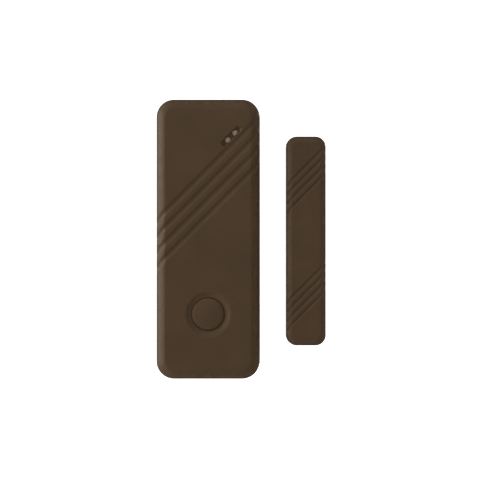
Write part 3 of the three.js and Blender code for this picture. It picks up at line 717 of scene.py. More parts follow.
GUIDE = Room("light_guide")
SLANT = TURN / 8
SLOT = Sizes(length=6.8, radius=1.35, lip=0.75, depth=0.6)
LIGHT_SPACING, LIGHT_HOLE, LIGHT_ROD = 3.6, 1.12, 1.05
LIGHTS = [GUIDE.place + side * LIGHT_SPACING / 2 * math.sqrt(0.5) for side in (-1, 1)]
BUTTON = Room("panic_button")
DISH = Sizes(hole=6.0, floor=6.3, rim=8.3, depth=0.65)
DISH_SHARES = (0, 0.12, 0.25, 0.38, 0.5, 0.62, 0.75, 0.88, 1, 1.3)  # rings from its floor to its rim
SLOT_SHARES = (-0.6, 0, 0.17, 0.33, 0.5, 0.67, 0.83, 1)  # lines from its mouth over its lip
SLOT_STEP = 0.15
POST = Sizes(radius=1.7, gap=0.2)  # it holds the tamper switch down
COLLAR = Sizes(inner=7.5, outer=8.4, low=11.2)  # round the button
GUIDE_FRAME = Sizes(length=3.4, radii=(2.9, 2.0), rise=3.4)
ROOF_RIBS = Sizes(low=12.6, half=(0.5, 8), places=((-14, 12), (14, 12), (-14, -12), (14, -12)))
MAGNET_RIBS = Sizes(gap=0.3, half=(4.2, 0.5), places=((0, -10), (0, 10)))


def slot_share(points):
    """How deep the slanted slot of the lights is at points of the face, as a share of its depth."""
    along = np.array((1, 1)) / math.sqrt(2)
    away = points - GUIDE.place
    share = np.clip(away @ along, -SLOT.length / 2, SLOT.length / 2)
    distance = np.linalg.norm(away - share[:, None] * along, axis=1)
    return smooth_step((SLOT.radius - distance) / SLOT.lip)


def dish_share(distance):
    """How deep the dish round the button is at distances from its middle, as a share of its depth."""
    return smooth_step((DISH.rim - distance) / (DISH.rim - DISH.floor))


def front_cover():
    def depth_at(points):
        distance = np.linalg.norm(points - BUTTON.place, axis=1)
        recesses = SLOT.depth * slot_share(points) + DISH.depth * dish_share(distance)
        return SENSOR_GROOVES.depth_at(points) + recesses

    def wear_and_shade_at(points):
        distance = np.linalg.norm(points - BUTTON.place, axis=1)
        rim = peak(distance, DISH.rim, 0.5) * DISH_RUB
        # the light slot is darkened with dirt and painted shade
        return SENSOR_GROOVES.wear_and_shade_at(points, rim, slot_share(points) * SLOT_DIRT_AND_SHADE)

    def inner(skin):
        """The tamper switch's post, a collar round the button, a frame round the light guide, and ribs."""
        roof, tamper = SENSOR.roof, Room("tamper_switch_plunger")
        radius, low = POST.radius, tamper.top + POST.gap
        skin.lathe([(0, low), (radius, low, 0.3), (radius, roof)], tamper.place)
        thin, wide, low = COLLAR.inner, COLLAR.outer, COLLAR.low
        skin.lathe([(thin, roof), (thin, low, 0.2), (wide, low, 0.2), (wide, roof)], BUTTON.place)
        outer, inside = (capsule(GUIDE.place, GUIDE_FRAME.length, r, SLANT) for r in GUIDE_FRAME.radii)
        skin.prism([outer, inside[::-1]], GUIDE.foot + GUIDE_FRAME.rise, roof, 0.15, ends=(True, False))
        rings = [circle(tamper.place, radius), circle(BUTTON.place, thin), circle(BUTTON.place, wide)]
        return [*rings, outer, inside, *skin.ribs(ROOF_RIBS, ROOF_RIBS.low, roof, 0.2, hanging=True)]

    holes = [circle(BUTTON.place, DISH.hole, 2 * ROUND)] + [circle(at, LIGHT_HOLE) for at in LIGHTS]
    radii = DISH.floor + np.array(DISH_SHARES) * (DISH.rim - DISH.floor)
    guides = [closed(circle(BUTTON.place, radius, 2 * ROUND)) for radius in radii]
    for share in SLOT_SHARES:
        loop = capsule(GUIDE.place, SLOT.length, SLOT.radius - share * SLOT.lip, SLANT)
        guides += clear_of(closed(finer(loop, SLOT_STEP)), holes)
    skin = cover_skin(SENSOR, SENSOR_GROOVES, depth_at, wear_and_shade_at, holes, guides, inner, snaps=True)
    skin.moved(*SENSOR.place, 0).piece("front_cover_moulding", FRONT, "brown_plastic", "front_cover")


def magnet_cover():
    def inner(skin):
        """Two ribs across the roof, which keep the magnet down."""
        low = Room("bar_magnet").top + MAGNET_RIBS.gap
        return skin.ribs(MAGNET_RIBS, low, MAGNET.roof, 0.2, hanging=True)

    depth_at, wear_and_shade_at = MAGNET_GROOVES.depth_at, MAGNET_GROOVES.wear_and_shade_at
    skin = cover_skin(MAGNET, MAGNET_GROOVES, depth_at, wear_and_shade_at, [], [], inner, snaps=False)
    skin.moved(*MAGNET.place, 0)
    skin.piece("magnet_cover_moulding", "magnet_front_half", "brown_plastic", "magnet_cover")


# ---- The two bases and their pads

SENSOR_TRAY = Sizes(seam=3.9, floor=2.8, lip_inset=2.1, lip=1.0, lip_top=6.0)
SENSOR_SCREWS = (((0, -41.5), 1.9, 3.6), ((-9, 22), 1.9, 3.6))  # place, hole's radius and head's radius
SENSOR_PINS = ((-12, -25), (11, -25), (4, 31), (11, 4))
MAGNET_TRAY = Sizes(seam=3.1, floor=2.4, lip_inset=1.6, lip=0.8, lip_top=4.8)
MAGNET_SCREWS = (((0, -30), 1.6, 2.9), ((0, 30), 1.6, 2.9))
MAGNET_PINS = ((0, -24), (0, 24))
TRAY_FOOT_ROUND, SEAM_ROUND, LIP_ROUND = 0.5, 0.12, 0.25
PIN_MARK = Sizes(radius=1.4, depth=0.1)  # left by the mould's ejector pins
PRY_SLOT = Sizes(half=4.5, reach=1.2, depth=1.1)
BOSS = Sizes(radius=2.6, bore=0.85, top=5.45, floor=0.4)
CRADLE = Sizes(half=5.8, top=7.3, gap=0.25, places=(-9, 9), thick=0.7)  # thick on each side
KEEPERS = Sizes(half=(4, 0.6), top=5.6, places=((0, -18.9), (0, 18.9)))
PAD_CORNER, PAD_WAIST = 2, 0.18

BATTERY = Room("battery_cell")
BOARD_SCREWS = [f"board_screw_{name}" for name in ("upper", "lower", "side")]
CONTACTS = ("battery_contact_positive", "battery_contact_negative")
CONTACT_WALLS = Sizes(half=(5.3, 0.47), top=4.1, places=[
    (BATTERY.middle[0], Room(name).middle[1] + away) for name in CONTACTS for away in (-0.82, 0.82)
])


def tray_skin(case, base, size, screws, pins, standing, snaps=False, pry_slot=None):
    """A base: a rounded foot, a ledge under the cover's rim, and a lip inside the cover.

    standing(skin) adds what stands on the floor, and returns the loops where it stands.
    """
    skin = Skin()
    foot, seam, floor, top = Room(base).foot, size.seam, size.floor, size.lip_top
    below = above = case.outline(case.corner)
    if pry_slot:
        half, y, split = pry_slot.half, -case.half[1], seam - pry_slot.depth
        mouth = np.array(((-half, 0), (-half, pry_slot.reach), (half, pry_slot.reach), (half, 0))) + (0, y)
        start = 3 * (CORNER_STEPS + 1)
        below, above = (np.insert(above, start, points, axis=0) for points in (mouth[[0, 3]], mouth))
        skin.side(below, side_section(foot, split, TRAY_FOOT_ROUND)).sheet([mouth], split)
        skin.side(above, side_section(split, seam, 0, SEAM_ROUND))
    else:
        skin.side(above, side_section(foot, seam, TRAY_FOOT_ROUND, SEAM_ROUND))

    outer = case.wall_loop(size.lip_inset, snaps)
    inner = case.outline(case.corner - size.lip_inset - size.lip)[::-1]
    skin.sheet([inset(above, SEAM_ROUND), outer], seam)
    rows = [at_height(outer, seam), *case.snap_rows(outer, BEAD.proud, snaps)]
    rows += [at_height(inset(outer, away), z) for away, z, _ in side_section(seam, top, 0, LIP_ROUND)[1:]]
    skin.rows([closed(row) for row in rows])
    skin.sheet([inset(outer, LIP_ROUND), inset(inner, LIP_ROUND)], top)
    skin.side(inner, side_section(floor, top, 0, LIP_ROUND))

    for place, radius, head in screws:
        skin.turn([(head, floor), (radius, floor - (head - radius)), (radius, foot)], place)
    back = [skin.pit(place, PIN_MARK.radius, foot, PIN_MARK.depth, up=False) for place in pins]
    front = [skin.pit(place, PIN_MARK.radius, floor, PIN_MARK.depth) for place in pins]
    mouths = [circle(place, radius) for place, radius, _ in screws]
    skin.sheet([inset(below, TRAY_FOOT_ROUND), *mouths, *back], foot, up=False)
    heads = [circle(place, head) for place, _, head in screws]
    return skin.sheet([inner, *heads, *front, *standing(skin)], floor)


def sensor_base():
    def standing(skin):
        """Bosses for the board, low walls that hold the contacts, and the battery's two cradle ribs."""
        floor, loops = SENSOR_TRAY.floor, []
        radius, bore, top, end = BOSS.radius, BOSS.bore, BOSS.top, floor + BOSS.floor
        boss = [(radius, floor), (radius, top, 0.2), (bore, top, 0.15), (bore, end), (0, end)]
        for name in BOARD_SCREWS:
            skin.lathe(boss, Room(name).place)
            loops.append(circle(Room(name).place, radius))
        loops += skin.ribs(CONTACT_WALLS, floor, CONTACT_WALLS.top, 0.15, hanging=False)
        x, _, z = BATTERY.middle
        seat, top, half = BATTERY.half[0] + CRADLE.gap, CRADLE.top, CRADLE.half
        lean = math.asin((z - top) / seat)
        cup = (x, z) + seat * ways(np.linspace(math.pi + lean, TURN - lean, 25))
        rib = np.array(((x - half, floor), (x - half, top), *cup, (x + half, top), (x + half, floor)))
        return loops + [skin.ridge(rib, y - CRADLE.thick, y + CRADLE.thick) for y in CRADLE.places]

    skin = tray_skin(SENSOR, "sensor_base", SENSOR_TRAY, SENSOR_SCREWS, SENSOR_PINS, standing, True, PRY_SLOT)
    skin.moved(*SENSOR.place, 0).piece("sensor_base_moulding", BACK, "brown_plastic", "sensor_base")


def magnet_base():
    def standing(skin):
        """A stop at each end of the magnet."""
        return skin.ribs(KEEPERS, MAGNET_TRAY.floor, KEEPERS.top, 0.2, hanging=False)

    skin = tray_skin(MAGNET, "magnet_base", MAGNET_TRAY, MAGNET_SCREWS, MAGNET_PINS, standing)
    skin.moved(*MAGNET.place, 0).piece("magnet_base_moulding", MAGNET_BACK, "brown_plastic", "magnet_base")


def foam_pad(node, body):
    """A foam pad with a waist, as cut foam tape has when it is pressed."""
    room = Room(node)
    loop = rounded_box(room.place, room.half[:2], PAD_CORNER)
    shares = np.linspace(0, 1, 7)
    rise = room.foot + shares * (room.top - room.foot)
    section = list(zip(PAD_WAIST * np.sin(math.pi * shares), rise, 0 * shares))
    skin = Skin().side(loop, section).sheet([loop], room.foot, up=False).sheet([loop], room.top)
    skin.piece(node + "_foam", body, "foam_tape", node)


# ---- The button and the lights

LAMP = Sizes(case=(0.95, 1.1), height=1.05, lens=0.8, end=(0.17, 1.05), end_place=1.15, end_drop=0.1)
GUIDE_PLATE = Sizes(length=3.4, radius=1.8, low=12.95, high=13.95, dome=0.35)


def panic_button():
    """A convex cap on a hollow skirt, with a flange that stays under the roof and a stem to the switch."""
    foot, stem, cap, skirt, flange = BUTTON.foot, 1.5, 5.9, 4.6, BUTTON.half[0]
    flange_low, flange_top, ceiling = 12.8, 13.7, 14.4
    edge_width, edge_height, crown = 2.0, 0.8, 0.25
    rim = cap - edge_width
    shoulder = BUTTON.top - crown - edge_height
    hidden = softened([
        (0, foot), (stem, foot, 0.2), (stem, ceiling, 0.2), (skirt, ceiling, 0.2), (skirt, flange_low),
        (flange, flange_low, 0.15), (flange, flange_top, 0.15), (cap, flange_top),
    ], loop=False)
    edge = (rim, shoulder) + ways(np.linspace(0, TURN / 4, 10)) * (edge_width, edge_height)
    share = np.linspace(1, 0, 12)[1:]
    dome = np.column_stack((rim * share, BUTTON.top - crown * share ** 2))
    skin = Skin().turn([*hidden, *edge, *dome], BUTTON.place, 2 * ROUND)
    skin.piece("panic_button_cap", "button", "brown_plastic", "panic_button")


def light_guide():
    """A plate with two rods through it, whose tips are domes."""
    low, high, dome = GUIDE_PLATE.low, GUIDE_PLATE.high, GUIDE_PLATE.dome
    plate = capsule(GUIDE.place, GUIDE_PLATE.length, GUIDE_PLATE.radius, SLANT)
    skin = Skin().prism([plate], low, high, 0.15, 0.15, gaps=[circle(at, LIGHT_ROD) for at in LIGHTS])
    tip = (0, GUIDE.top - dome) + ways(np.linspace(0, TURN / 4, 9)) * (LIGHT_ROD, dome)
    for at in LIGHTS:
        skin.lathe([(0, GUIDE.foot), (LIGHT_ROD, GUIDE.foot, 0.12), (LIGHT_ROD, low)], at)
        skin.turn([(LIGHT_ROD, high), *tip], at)
    skin.piece("light_guide_rods", FRONT, "clear_resin", "light_guide")


def lamp(node, lens):
    """A surface-mount lamp: a white case, a coloured dome, and a metal end at each side."""
    room = Room(node)
    foot, body = room.foot, room.foot + LAMP.height
    case = Skin().prism([rounded_box((0, 0), LAMP.case, 0.1)], foot, body, 0.05, 0.05)
    base = body + 0.02
    dome = (0, base) + ways(np.linspace(0, TURN / 4, 9)) * (LAMP.lens, (room.top - body) * 0.97)
    glass = Skin().turn([(0, base), *dome], count=32)
    ends = Skin()
    for side in (-1, 1):
        end = rounded_box((side * LAMP.end_place, 0), LAMP.end, 0.05)
        ends.prism([end], foot, body - LAMP.end_drop, 0.04, 0.04)
    turned = np.identity(3)
    turned[:2, :2] = spun(np.identity(2), SLANT).T
    for skin in (case, glass, ends):
        skin.turned_to(turned).moved(*room.place, 0)
    case.piece(node + "_case", BACK, "ivory_resin")
    glass.piece(node + "_lens", BACK, lens, node)
    ends.piece(node + "_ends", BACK, "tin")


# ---- The battery and its contacts


def battery():
    """The cell's can with its button end, and the shrink sleeve over it."""
    low, tip, nub, radius, sleeve, lap = BATTERY.low[1], BATTERY.high[1], 2.7, BATTERY.half[0], 0.12, 0.75
    end, can, lid = tip - 1.2, radius - sleeve, tip - 1.5
    metal = Skin().lathe([
        (0, low), (can - 0.5, low, 0.3), (can, low + 0.5, 0.3), (can, end - 0.45, 0.35),
        (can - 0.6, end, 0.3), (nub + 0.5, end, 0.15), (nub + 0.25, lid, 0.05), (nub, lid, 0.05),
        (nub, tip, 0.35), (0, tip),
    ])
    shrunk = softened([
        (can, low + 0.5), (can - lap, low), (can - lap, low - 0.1), (radius, low + 0.35),
        (radius, lid), (can - lap, end + 0.12), (can - lap, end + 0.02), (can, end - 0.45),
    ], 0.15)
    wrap = Skin().turn(shrunk, loop=True)
    for skin in (metal, wrap):
        skin.turned_to(ALONG_Y).moved(BATTERY.middle[0], 0, BATTERY.middle[2])
    metal.piece("battery_can", "battery", "nickel", "battery_cell")
    wrap.piece("battery_sleeve_wrap", "battery", "battery_sleeve")


def battery_contact(node, height):
    """A plate across the battery's end, with a tab soldered to the board and a pressed boss in its middle."""
    room = Room(node)
    left, right, half, foot = room.low[0], room.high[0], room.half[1], room.foot
    neck, tab, boss = -2.9, SURFACE + 0.05, 1.6
    plate = softened([
        (left, foot, 0.4), (neck, foot, 0.3), (neck, tab), (right, tab, 0.15), (right, tab + 1.6, 0.3),
        (neck, tab + 3, 0.5), (neck, room.top, 1), (left, room.top, 1),
    ])
    middle = BATTERY.middle[[0, 2]]
    skin = Skin().prism([plate], -half, half, 0.06, 0.06, gaps=[circle(middle, boss)])
    bulge = np.array(((boss, 0), (1.2, height * 0.55), (0.7, height * 0.9), (0, height)))
    skin.turn(bulge + (0, half), middle).turn(bulge[::-1] - (0, half), middle)
    skin.turned_to(STANDING).moved(0, room.middle[1], 0).piece(node + "_plate", BACK, "nickel", node)


def battery_spring():
    """A conical spring with its end turns closed."""
    room = Room("battery_spring")
    wire, wide, narrow, turns = 0.33, 3.7, 2.1, 3
    share = np.linspace(0, 1, 30 * turns)
    radius = wide + (narrow - wide) * share
    start, end = room.low[1] + wire, room.high[1] - wire
    y = start + (end - start) * smooth_step((share - 0.08) / 0.84)
    around = BATTERY.middle[[0, 2]] + radius[:, None] * ways(share * turns * TURN)
    skin = Skin().wire(np.insert(around, 1, y, axis=1), wire, (1, 0, 0))
    skin.piece("battery_spring_coil", BACK, "plated_steel", "battery_spring")


# ---- The circuit board

BOARD, REED, CHIP = Room("circuit_board"), Room("reed_switch_glass"), Room("encoder_chip")
SURFACE = BOARD.top
TRACK = Sizes(width=0.5, thick=0.05, bend=0.6, gap=0.002)
TRACKS = [  # lines of places on the board, lying down
    [(1.2, -13.4), (-0.6, -15.2), (-0.6, -19.6), (-3.4, -22.4), (-3.4, -25)],
    [(1.2, -10.9), (-1.5, -13.6), (-1.5, -20), (-6, -24.5), (-6, -29), (-3.4, -31.6)],
    [(7.2, -13.4), (8.6, -14.8), (8.6, -18.4)],
    [(7.2, -10.9), (9.2, -10.9), (10.2, -9.9), (10.2, -6)],
    [(12.6, -11.4), (12.6, -15), (10.4, -17.2), (10.4, -27), (8.6, -28.8)],
    [(12.6, 11.4), (12.6, 14.4), (9.4, 17.6), (9.4, 20.5), (6.8, 23.1), (6.8, 26.5), (3.4, 29.9), (3.4, 33)],
    [(1.2, -4.6), (-1.2, -2.2), (-1.2, 6.4), (0, 7.6)],
    [(5, 15.4), (5, 18.4)],
    [(1.6, 17.6), (1.6, 25), (-3.4, 30), (-4.9, 30)],
    [(-8.5, 36.6), (-8.5, 38.2), (-7.5, 39.2)],
    [(13.7, -33), (13.7, -18), (14, -17.7), (14, 16)],
    [(-13, -30), (-13, -24), (-11, -22)],
    [(7.2, -4.6), (8.6, -3.2), (8.6, 3), (10.7, 5.1), (10.7, 6.8)],
]
RESISTORS = [  # x, y, and 1 where the part lies along the board
    (10.2, -4.4, 1), (10.2, -13.6, 1), (5, 19.8, 1), (1.6, 16, 1), (-8.6, -24.6, 0), (3.4, 34.4, 1),
    (-6, -21.4, 0),
]
CAPACITORS = [(10.7, 8, 1), (8.2, -29.6, 0), (-9, -28.5, 1), (0.2, 21.5, 1), (-1, 36, 0), (9.8, 24.5, 0)]
SMALL_PART = 1.0, 0.62, 0.5, 0.28  # half length, half width, height, and the length of a tinned end
LEG_PITCH, LEG_ROWS = 1.27, 8
SWITCH = Sizes(half=3.0, lid=0.3, rivet=2.15, foot_y=2.25, foot_x=3.3, thick=0.22)
AERIAL_WIRE, REED_WIRE = 0.35, 0.25


def circuit_board():
    """The board, with a bay in its left edge for the battery."""
    left, low, right, high = *BOARD.low[:2], *BOARD.high[:2]
    edge, bay_low, bay_high = -2.4, -19, 27
    outline = softened([
        (left, low, 2), (right, low, 2), (right, high, 2), (left, high, 2),
        (left, bay_high, 0.6), (edge, bay_high, 0.8), (edge, bay_low, 0.8), (left, bay_low, 0.6),
    ])
    holes = [circle(Room(name).place, 1.25)[::-1] for name in BOARD_SCREWS]
    skin = Skin().prism([outline, *holes], BOARD.foot, BOARD.top, 0.06, 0.06)
    skin.piece("circuit_board_panel", BACK, "fibreglass", "circuit_board")


def tracks():
    skin = Skin()
    for places in TRACKS:
        line = softened(places, TRACK.bend, loop=False)
        line = line[np.append(True, np.linalg.norm(np.diff(line, axis=0), axis=1) > 0.02)]
        aside = lefts(np.gradient(line, axis=0)) * TRACK.width / 2
        band = np.concatenate((line - aside, (line + aside)[::-1]))
        skin.prism([band], SURFACE + TRACK.gap, SURFACE + TRACK.thick)
    skin.piece("circuit_board_tracks", BACK, "track")


def solder_places():
    """Where leads are soldered through the board."""
    for name in ("button", "tamper"):
        for x in (-SWITCH.foot_x, SWITCH.foot_x):
            for y in (-SWITCH.foot_y, SWITCH.foot_y):
                yield Room(f"{name}_switch_body").place + (x, y)
    for y in (Room("reed_lead_lower").low[1] + REED_WIRE, Room("reed_lead_upper").high[1] - REED_WIRE):
        yield np.array((REED.middle[0], y))
    coil = Room("spring_aerial")
    for x in (coil.low[0] + 0.3, coil.high[0] - 0.3):
        yield np.array((x, coil.middle[1]))


def part_box(part, along, half, radius, steps):
    """A rounded box at a distance along a small part of the board."""
    x, y, turned = part
    place, half = ((x, y + along), half[::-1]) if turned else ((x + along, y), half)
    return rounded_box(place, half, radius, steps)


def solder():
    """A cone of solder at every lead, and the tinned ends and lands of the small parts."""
    skin, low = Skin(), SURFACE + TRACK.gap
    cone = [(0, low), (0.85, low), (0.85, SURFACE + 0.04, 0.02), (0.5, SURFACE + 0.1, 0.2),
            (0.3, SURFACE + 0.34, 0.08), (0, SURFACE + 0.42)]
    for place in solder_places():
        skin.lathe(cone, place, ROUND // 2)
    length, width, height, cap = SMALL_PART
    for part in RESISTORS + CAPACITORS:
        for side in (-1, 1):
            end = part_box(part, side * (length - cap / 2), (cap / 2, width + 0.02), 0.06, 3)
            skin.prism([end], SURFACE, SURFACE + height + 0.02, 0, 0.05)
            land = part_box(part, side * (length + 0.1), (0.45, width + 0.12), 0.1, 3)
            skin.prism([land], low, SURFACE + 0.045)
    skin.piece("circuit_board_solder", BACK, "tin")


def small_parts(name, finish, parts):
    length, width, height, cap = SMALL_PART
    skin = Skin()
    for part in parts:
        body = part_box(part, 0, (length - cap, width), 0.04, 2)
        skin.prism([body], SURFACE + 0.03, SURFACE + height, 0.02, 0.04)
    skin.piece(name, BACK, finish)


def feet(section, half, places):
    """Feet of one bent section on both sides of a part, at places along it."""
    skin = Skin()
    for y in places:
        for loop in (section, (section * (-1, 1))[::-1]):
            skin.join(Skin().prism([loop], -half, half, 0.02, 0.02).turned_to(STANDING).moved(0, y, 0))
    return skin


def encoder_chip():
    """A chip: a moulded body with drafted sides and a mark at its first leg, and gull-wing legs."""
    low, high = CHIP.foot + 0.15, CHIP.top
    half, middle = np.array((1.95, CHIP.half[1])), (low + high) / 2 - 0.1
    loops = [rounded_box(CHIP.place, half - away, 0.12, 3) for away in (0.14, 0, 0.16)]
    body = Skin()
    for run in smooth_runs(loops[0], True):
        body.rows([at_height(loop[run], z) for loop, z in zip(loops, (low, middle, high))])
    mark = body.pit(CHIP.place + (-1.1, half[1] - 1.0), 0.42, high, 0.1)
    body.sheet([loops[0]], low, up=False).sheet([loops[2], mark], high)
    body.piece("encoder_chip_body", BACK, "black_resin", "encoder_chip")

    foot, thick, reach, side = CHIP.foot - 0.03, 0.2, CHIP.half[0], half[0] - 0.1
    under, over = middle - thick / 2, middle + thick / 2
    leg = softened([
        (side, under), (side + 0.42, under, 0.15), (side + 0.55, foot, 0.2), (reach, foot, 0.05),
        (reach, foot + thick, 0.05), (side + 0.72, foot + thick, 0.2), (side + 0.6, over, 0.2), (side, over),
    ])
    legs = feet(leg, 0.21, (np.arange(LEG_ROWS) - (LEG_ROWS - 1) / 2) * LEG_PITCH)
    legs.moved(*CHIP.place, 0).piece("encoder_chip_legs", BACK, "tin")


def resonator():
    """A round can, welded to a wider rim, with a stepped lid."""
    room = Room("saw_resonator")
    rim, low, high, weld = room.half[0], room.foot, room.top, room.foot + 0.45
    skin = Skin().lathe([
        (0, low), (rim, low, 0.1), (rim, weld, 0.15), (rim - 0.5, weld, 0.15), (rim - 0.5, high, 0.5),
        (rim - 1.4, high, 0.1), (rim - 1.6, high - 0.12, 0.1), (0, high - 0.12),
    ], room.place, 64)
    skin.piece("saw_resonator_can", BACK, "nickel", "saw_resonator")


def capacitor():
    """An upright can, rolled in near its top."""
    room = Room("storage_capacitor")
    radius, low, high, roll = room.half[0], room.foot, room.top, room.foot + 4.05
    skin = Skin().lathe([
        (0, low), (radius, low, 0.15), (radius, roll - 0.45, 0.3), (radius - 0.28, roll, 0.4),
        (radius, roll + 0.45, 0.3), (radius, high, 0.35), (radius - 0.6, high, 0.1),
        (radius - 0.75, high - 0.12, 0.1), (0, high - 0.12),
    ], room.place, 64)
    skin.piece("storage_capacitor_can", BACK, "bare_aluminium", "storage_capacitor")


def aerial():
    """A coil that lies across the board."""
    room, turns = Room("spring_aerial"), 8
    share = np.linspace(0, 1, 24 * turns)
    x = room.low[0] + AERIAL_WIRE + share * 2 * (room.half[0] - AERIAL_WIRE)
    circling = room.middle[1:] + (room.half[1] - AERIAL_WIRE) * ways(share * turns * TURN - TURN / 4)
    skin = Skin().wire(np.column_stack((x, circling)), AERIAL_WIRE, (1, 0, 0))
    skin.piece("spring_aerial_coil", BACK, "copper_wire", "spring_aerial")


def reed_switch():
    """Two leads that bend into a glass tube, and are flattened where they overlap in its middle."""
    radius, half, bore, z = REED.half[0], REED.half[1], 0.78, REED.middle[2]
    seal, wire, neck = half - 2, REED_WIRE, 5.4
    tube = Skin().lathe([
        (wire, -half, 0.1), (radius, -half, 0.7), (radius, half, 0.7), (wire, half, 0.1),
        (wire, seal, 0.2), (bore, seal, 0.5), (bore, -seal, 0.5), (wire, -seal, 0.2),
    ], loop=True)
    tube.turned_to(ALONG_Y).moved(*REED.middle)
    tube.piece("reed_switch_tube", BACK, "reed_glass", "reed_switch_glass")
    for side, name in ((1, "upper"), (-1, "lower")):
        room = Room(f"reed_lead_{name}")
        end = (room.high[1] if side > 0 else -room.low[1]) - wire
        rise = softened([
            (end, SURFACE + 0.05), (end, z, 0.9), (neck, z, 0.3), (4.6, z - 0.1, 0.3), (-0.8, z - 0.1),
        ], loop=False)
        steps = [np.linspace(a, b, 4)[:-1] for a, b in zip(rise[:-1], rise[1:])]
        y, height = np.concatenate((*steps, rise[-1:])).T
        flat = smooth_step((neck - y) / 1.2)
        height = z + (height - z) * np.where(y < neck, side, 1)
        path = np.column_stack((np.full(len(y), room.middle[0]), side * y, height))
        skin = Skin().wire(path, np.column_stack((wire + flat * 0.17, wire - flat * 0.16)), (1, 0, 0), 16)
        skin.piece(f"reed_lead_{name}_wire", BACK, "nickel", f"reed_lead_{name}")


def push_switch(name, plunger_body, plunger_finish):
    """A square switch: a moulded case, a riveted metal lid, four bent feet, and its plunger."""
    room, plunger = Room(f"{name}_switch_body"), Room(f"{name}_switch_plunger")
    low, high, half, thick = room.foot, room.top, SWITCH.half, SWITCH.thick
    lid_low, well = high - SWITCH.lid, circle((0, 0), plunger.half[0] + 0.15)[::-1]
    case = Skin().prism([rounded_box((0, 0), (half, half), 0.35, 4)], low, lid_low, 0.08, 0.08)
    rim = rounded_box((0, 0), (half - 0.1, half - 0.1), 0.5, 4)
    lid = Skin().prism([rim, well], lid_low, high, 0.03, 0.08)
    rivet = [(0, high - 0.1), (0.4, high - 0.1), (0.4, high, 0.1), (0.3, high + 0.1, 0.1), (0, high + 0.14)]
    for place in itertools.product((-SWITCH.rivet, SWITCH.rivet), repeat=2):
        lid.join(Skin().lathe(rivet, place, 20))
    wall, knee, reach = half + 0.1, low + 1.0, room.half[0]
    foot = softened([
        (half - 0.2, knee), (wall, knee, 0.06), (wall, low, 0.03), (reach, low, 0.03),
        (reach, low + thick, 0.03), (wall + thick, low + thick, 0.08), (wall + thick, knee + thick, 0.2),
        (half - 0.2, knee + thick),
    ])
    case.moved(*room.place, 0).piece(f"{name}_switch_case", BACK, "black_resin", f"{name}_switch_body")
    lid.moved(*room.place, 0).piece(f"{name}_switch_lid", BACK, "nickel")
    legs = feet(foot, 0.35, (-SWITCH.foot_y, SWITCH.foot_y))
    legs.moved(*room.place, 0).piece(f"{name}_switch_feet", BACK, "tin")
    radius, foot, tip = plunger.half[0], plunger.foot, plunger.top
    pin = Skin().lathe([(0, foot), (radius, foot, 0.1), (radius, tip, 0.35), (0, tip)], plunger.place)
    pin.piece(f"{name}_switch_pin", plunger_body, plunger_finish, f"{name}_switch_plunger")


def board_screw(node):
    """A pan-head screw with a cross recess and a thread."""
    room = Room(node)
    seat, tip, head, neck, rim, recess = SURFACE + 0.05, room.foot, room.half[0], 0.8, 0.45, 0.55
    arm_width, arm_reach, pitch, thread = 0.3, 1.25, 0.6, 0.14

    def cross_share(points):
        """How deep the cross recess is, as a share of its depth."""
        x, y = np.abs(points).T
        return np.maximum(*(
            smooth_step((arm_width - across) / 0.12) * smooth_step((arm_reach - along) / 0.5)
            for across, along in ((x, y), (y, x))
        ))

    skin = Skin().lathe([(neck, seat), (head, seat, 0.12), (head, seat + rim)])
    arm = [(arm_width, arm_width), (arm_width, arm_reach), (-arm_width, arm_reach)]
    cross = np.concatenate([spun(arm, quarter * TURN / 4) for quarter in range(4)])
    guides = [closed(finer(loop, 0.12)) for loop in (cross, inset(cross, 0.12))]
    guides += [closed(circle((0, 0), head * share)) for share in (0.98, 0.94, 0.88, 0.8, 0.7)]
    flat, faces = triangulate([circle((0, 0), head)], guides)
    across, sunk = np.linalg.norm(flat, axis=1) / head, cross_share(flat)
    dome = seat + rim + (room.top - seat - rim) * np.clip(1 - across ** 3 - WELD, 0, 1) ** 0.6
    skin.add(np.column_stack((flat, dome - recess * sunk)), faces, wear=across * 0.5 + sunk * 0.5)

    angle = np.append(np.arange(ROUND), 0) * TURN / ROUND
    low, high = tip + 0.7, seat - 0.15
    rings = [(0, tip), (0.28, tip + 0.3)]
    for z in np.linspace(low, high, 48):
        wave = np.abs((z / pitch - angle / TURN) % 1 - 0.5) * 2
        rings.append((neck - thread * smooth_step(min(z - low, high - z) / 0.3) * wave, z))
    rings.append((neck, seat))
    skin.rows([at_height(ways(angle) * np.reshape(radius, (-1, 1)), z) for radius, z in rings])
    skin.moved(*room.place, 0).piece(node + "_pan_head", BACK, "plated_steel", node)


def bar_magnet():
    room = Room("bar_magnet")
    skin = Skin().prism([rounded_box(room.place, room.half[:2], 0.8)], room.foot, room.top, 0.35, 0.35)
    skin.piece("bar_magnet_block", MAGNET_BACK, "ferrite", "bar_magnet")


# ---- The camera, the lights and the stage

FIELD = 170.8 * MM  # how much of the front plane the picture takes in, across
CAMERA_DISTANCE, FILM = 1.0, 36
TARGET = Vector((11.4, -SENSOR.top, -0.3)) * MM
LAMPS = (("key", (-0.9, -0.22, 0.14), 0.4, 9), ("fill", (0.15, -0.75, 0.6), 0.8, 3.2))  # place, size, power
LAMP_TARGET = (0.01, -0.01, 0)
SKY, SKY_STRENGTH = (1, 0.98, 0.95, 1), 0.46
STAGE_COLOUR = (0.68, 0.67, 0.655, 1)
STAGE_HALF, BACKDROP_HALF, FLOOR_PLACE, BACKDROP_PLACE = (2200, 2200), (2200, 1100), (0, -260, 0), -1000


def look_at(obj, eye, target):
    obj.location = eye
    obj.rotation_euler = (Vector(target) - Vector(eye)).to_track_quat("-Z", "Y").to_euler()


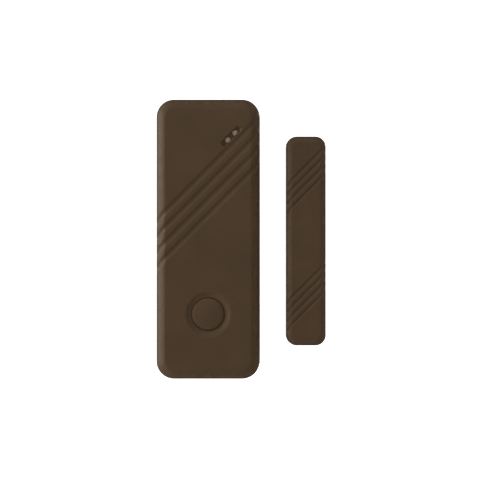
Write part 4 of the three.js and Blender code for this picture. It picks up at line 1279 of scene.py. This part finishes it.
def pale(name, glow):
    shader = Shader(name)
    shader.set(Base_Color=STAGE_COLOUR, Roughness=0.9, Emission_Color=(1, 1, 1, 1), Emission_Strength=glow)
    return shader.material


def studio():
    scene = bpy.context.scene
    scene.view_settings.view_transform = "Standard"
    camera = linked("camera", bpy.data.cameras.new("camera"))
    look_at(camera, TARGET - Vector((0, CAMERA_DISTANCE, 0)), TARGET)
    camera.data.sensor_width = FILM
    camera.data.lens = FILM * CAMERA_DISTANCE / FIELD
    scene.camera = camera

    world = bpy.data.worlds.new("studio")
    world.use_nodes = True
    background = world.node_tree.nodes["Background"]
    background.inputs["Color"].default_value = SKY
    background.inputs["Strength"].default_value = SKY_STRENGTH
    scene.world = world

    for name, eye, size, power in LAMPS:
        light = linked(name, bpy.data.lights.new(name, "AREA"))
        light.data.size, light.data.energy = size, power
        look_at(light, eye, LAMP_TARGET)

    floor = Skin().sheet([rectangle((0, 0), STAGE_HALF)], 0)
    floor = floor.turned_to(ALONG_Y).moved(*FLOOR_PLACE).build("floor")
    floor.data.materials.append(pale("pale_floor", 0.0))
    backdrop = Skin().sheet([rectangle((0, 0), BACKDROP_HALF)], BACKDROP_PLACE).build("backdrop")
    backdrop.data.materials.append(pale("white_backdrop", 1.0))


# ---- The assembly

studio()
front_cover()
panic_button()
light_guide()
sensor_base()
foam_pad("sensor_adhesive_pad", BACK)

circuit_board()
tracks()
solder()
small_parts("board_resistors", "black_resin", RESISTORS)
small_parts("board_capacitors", "tan_ceramic", CAPACITORS)
for screw in BOARD_SCREWS:
    board_screw(screw)
battery()
for contact, boss_height in zip(CONTACTS, (0.25, 0.12)):
    battery_contact(contact, boss_height)
battery_spring()
reed_switch()
push_switch("button", "button_plunger", "black_resin")
push_switch("tamper", "tamper_plunger", "ivory_resin")
encoder_chip()
resonator()
capacitor()
aerial()
lamp("alarm_lamp_red", "red_resin")
lamp("status_lamp_green", "green_resin")

magnet_cover()
magnet_base()
foam_pad("magnet_adhesive_pad", MAGNET_BACK)
bar_magnet()
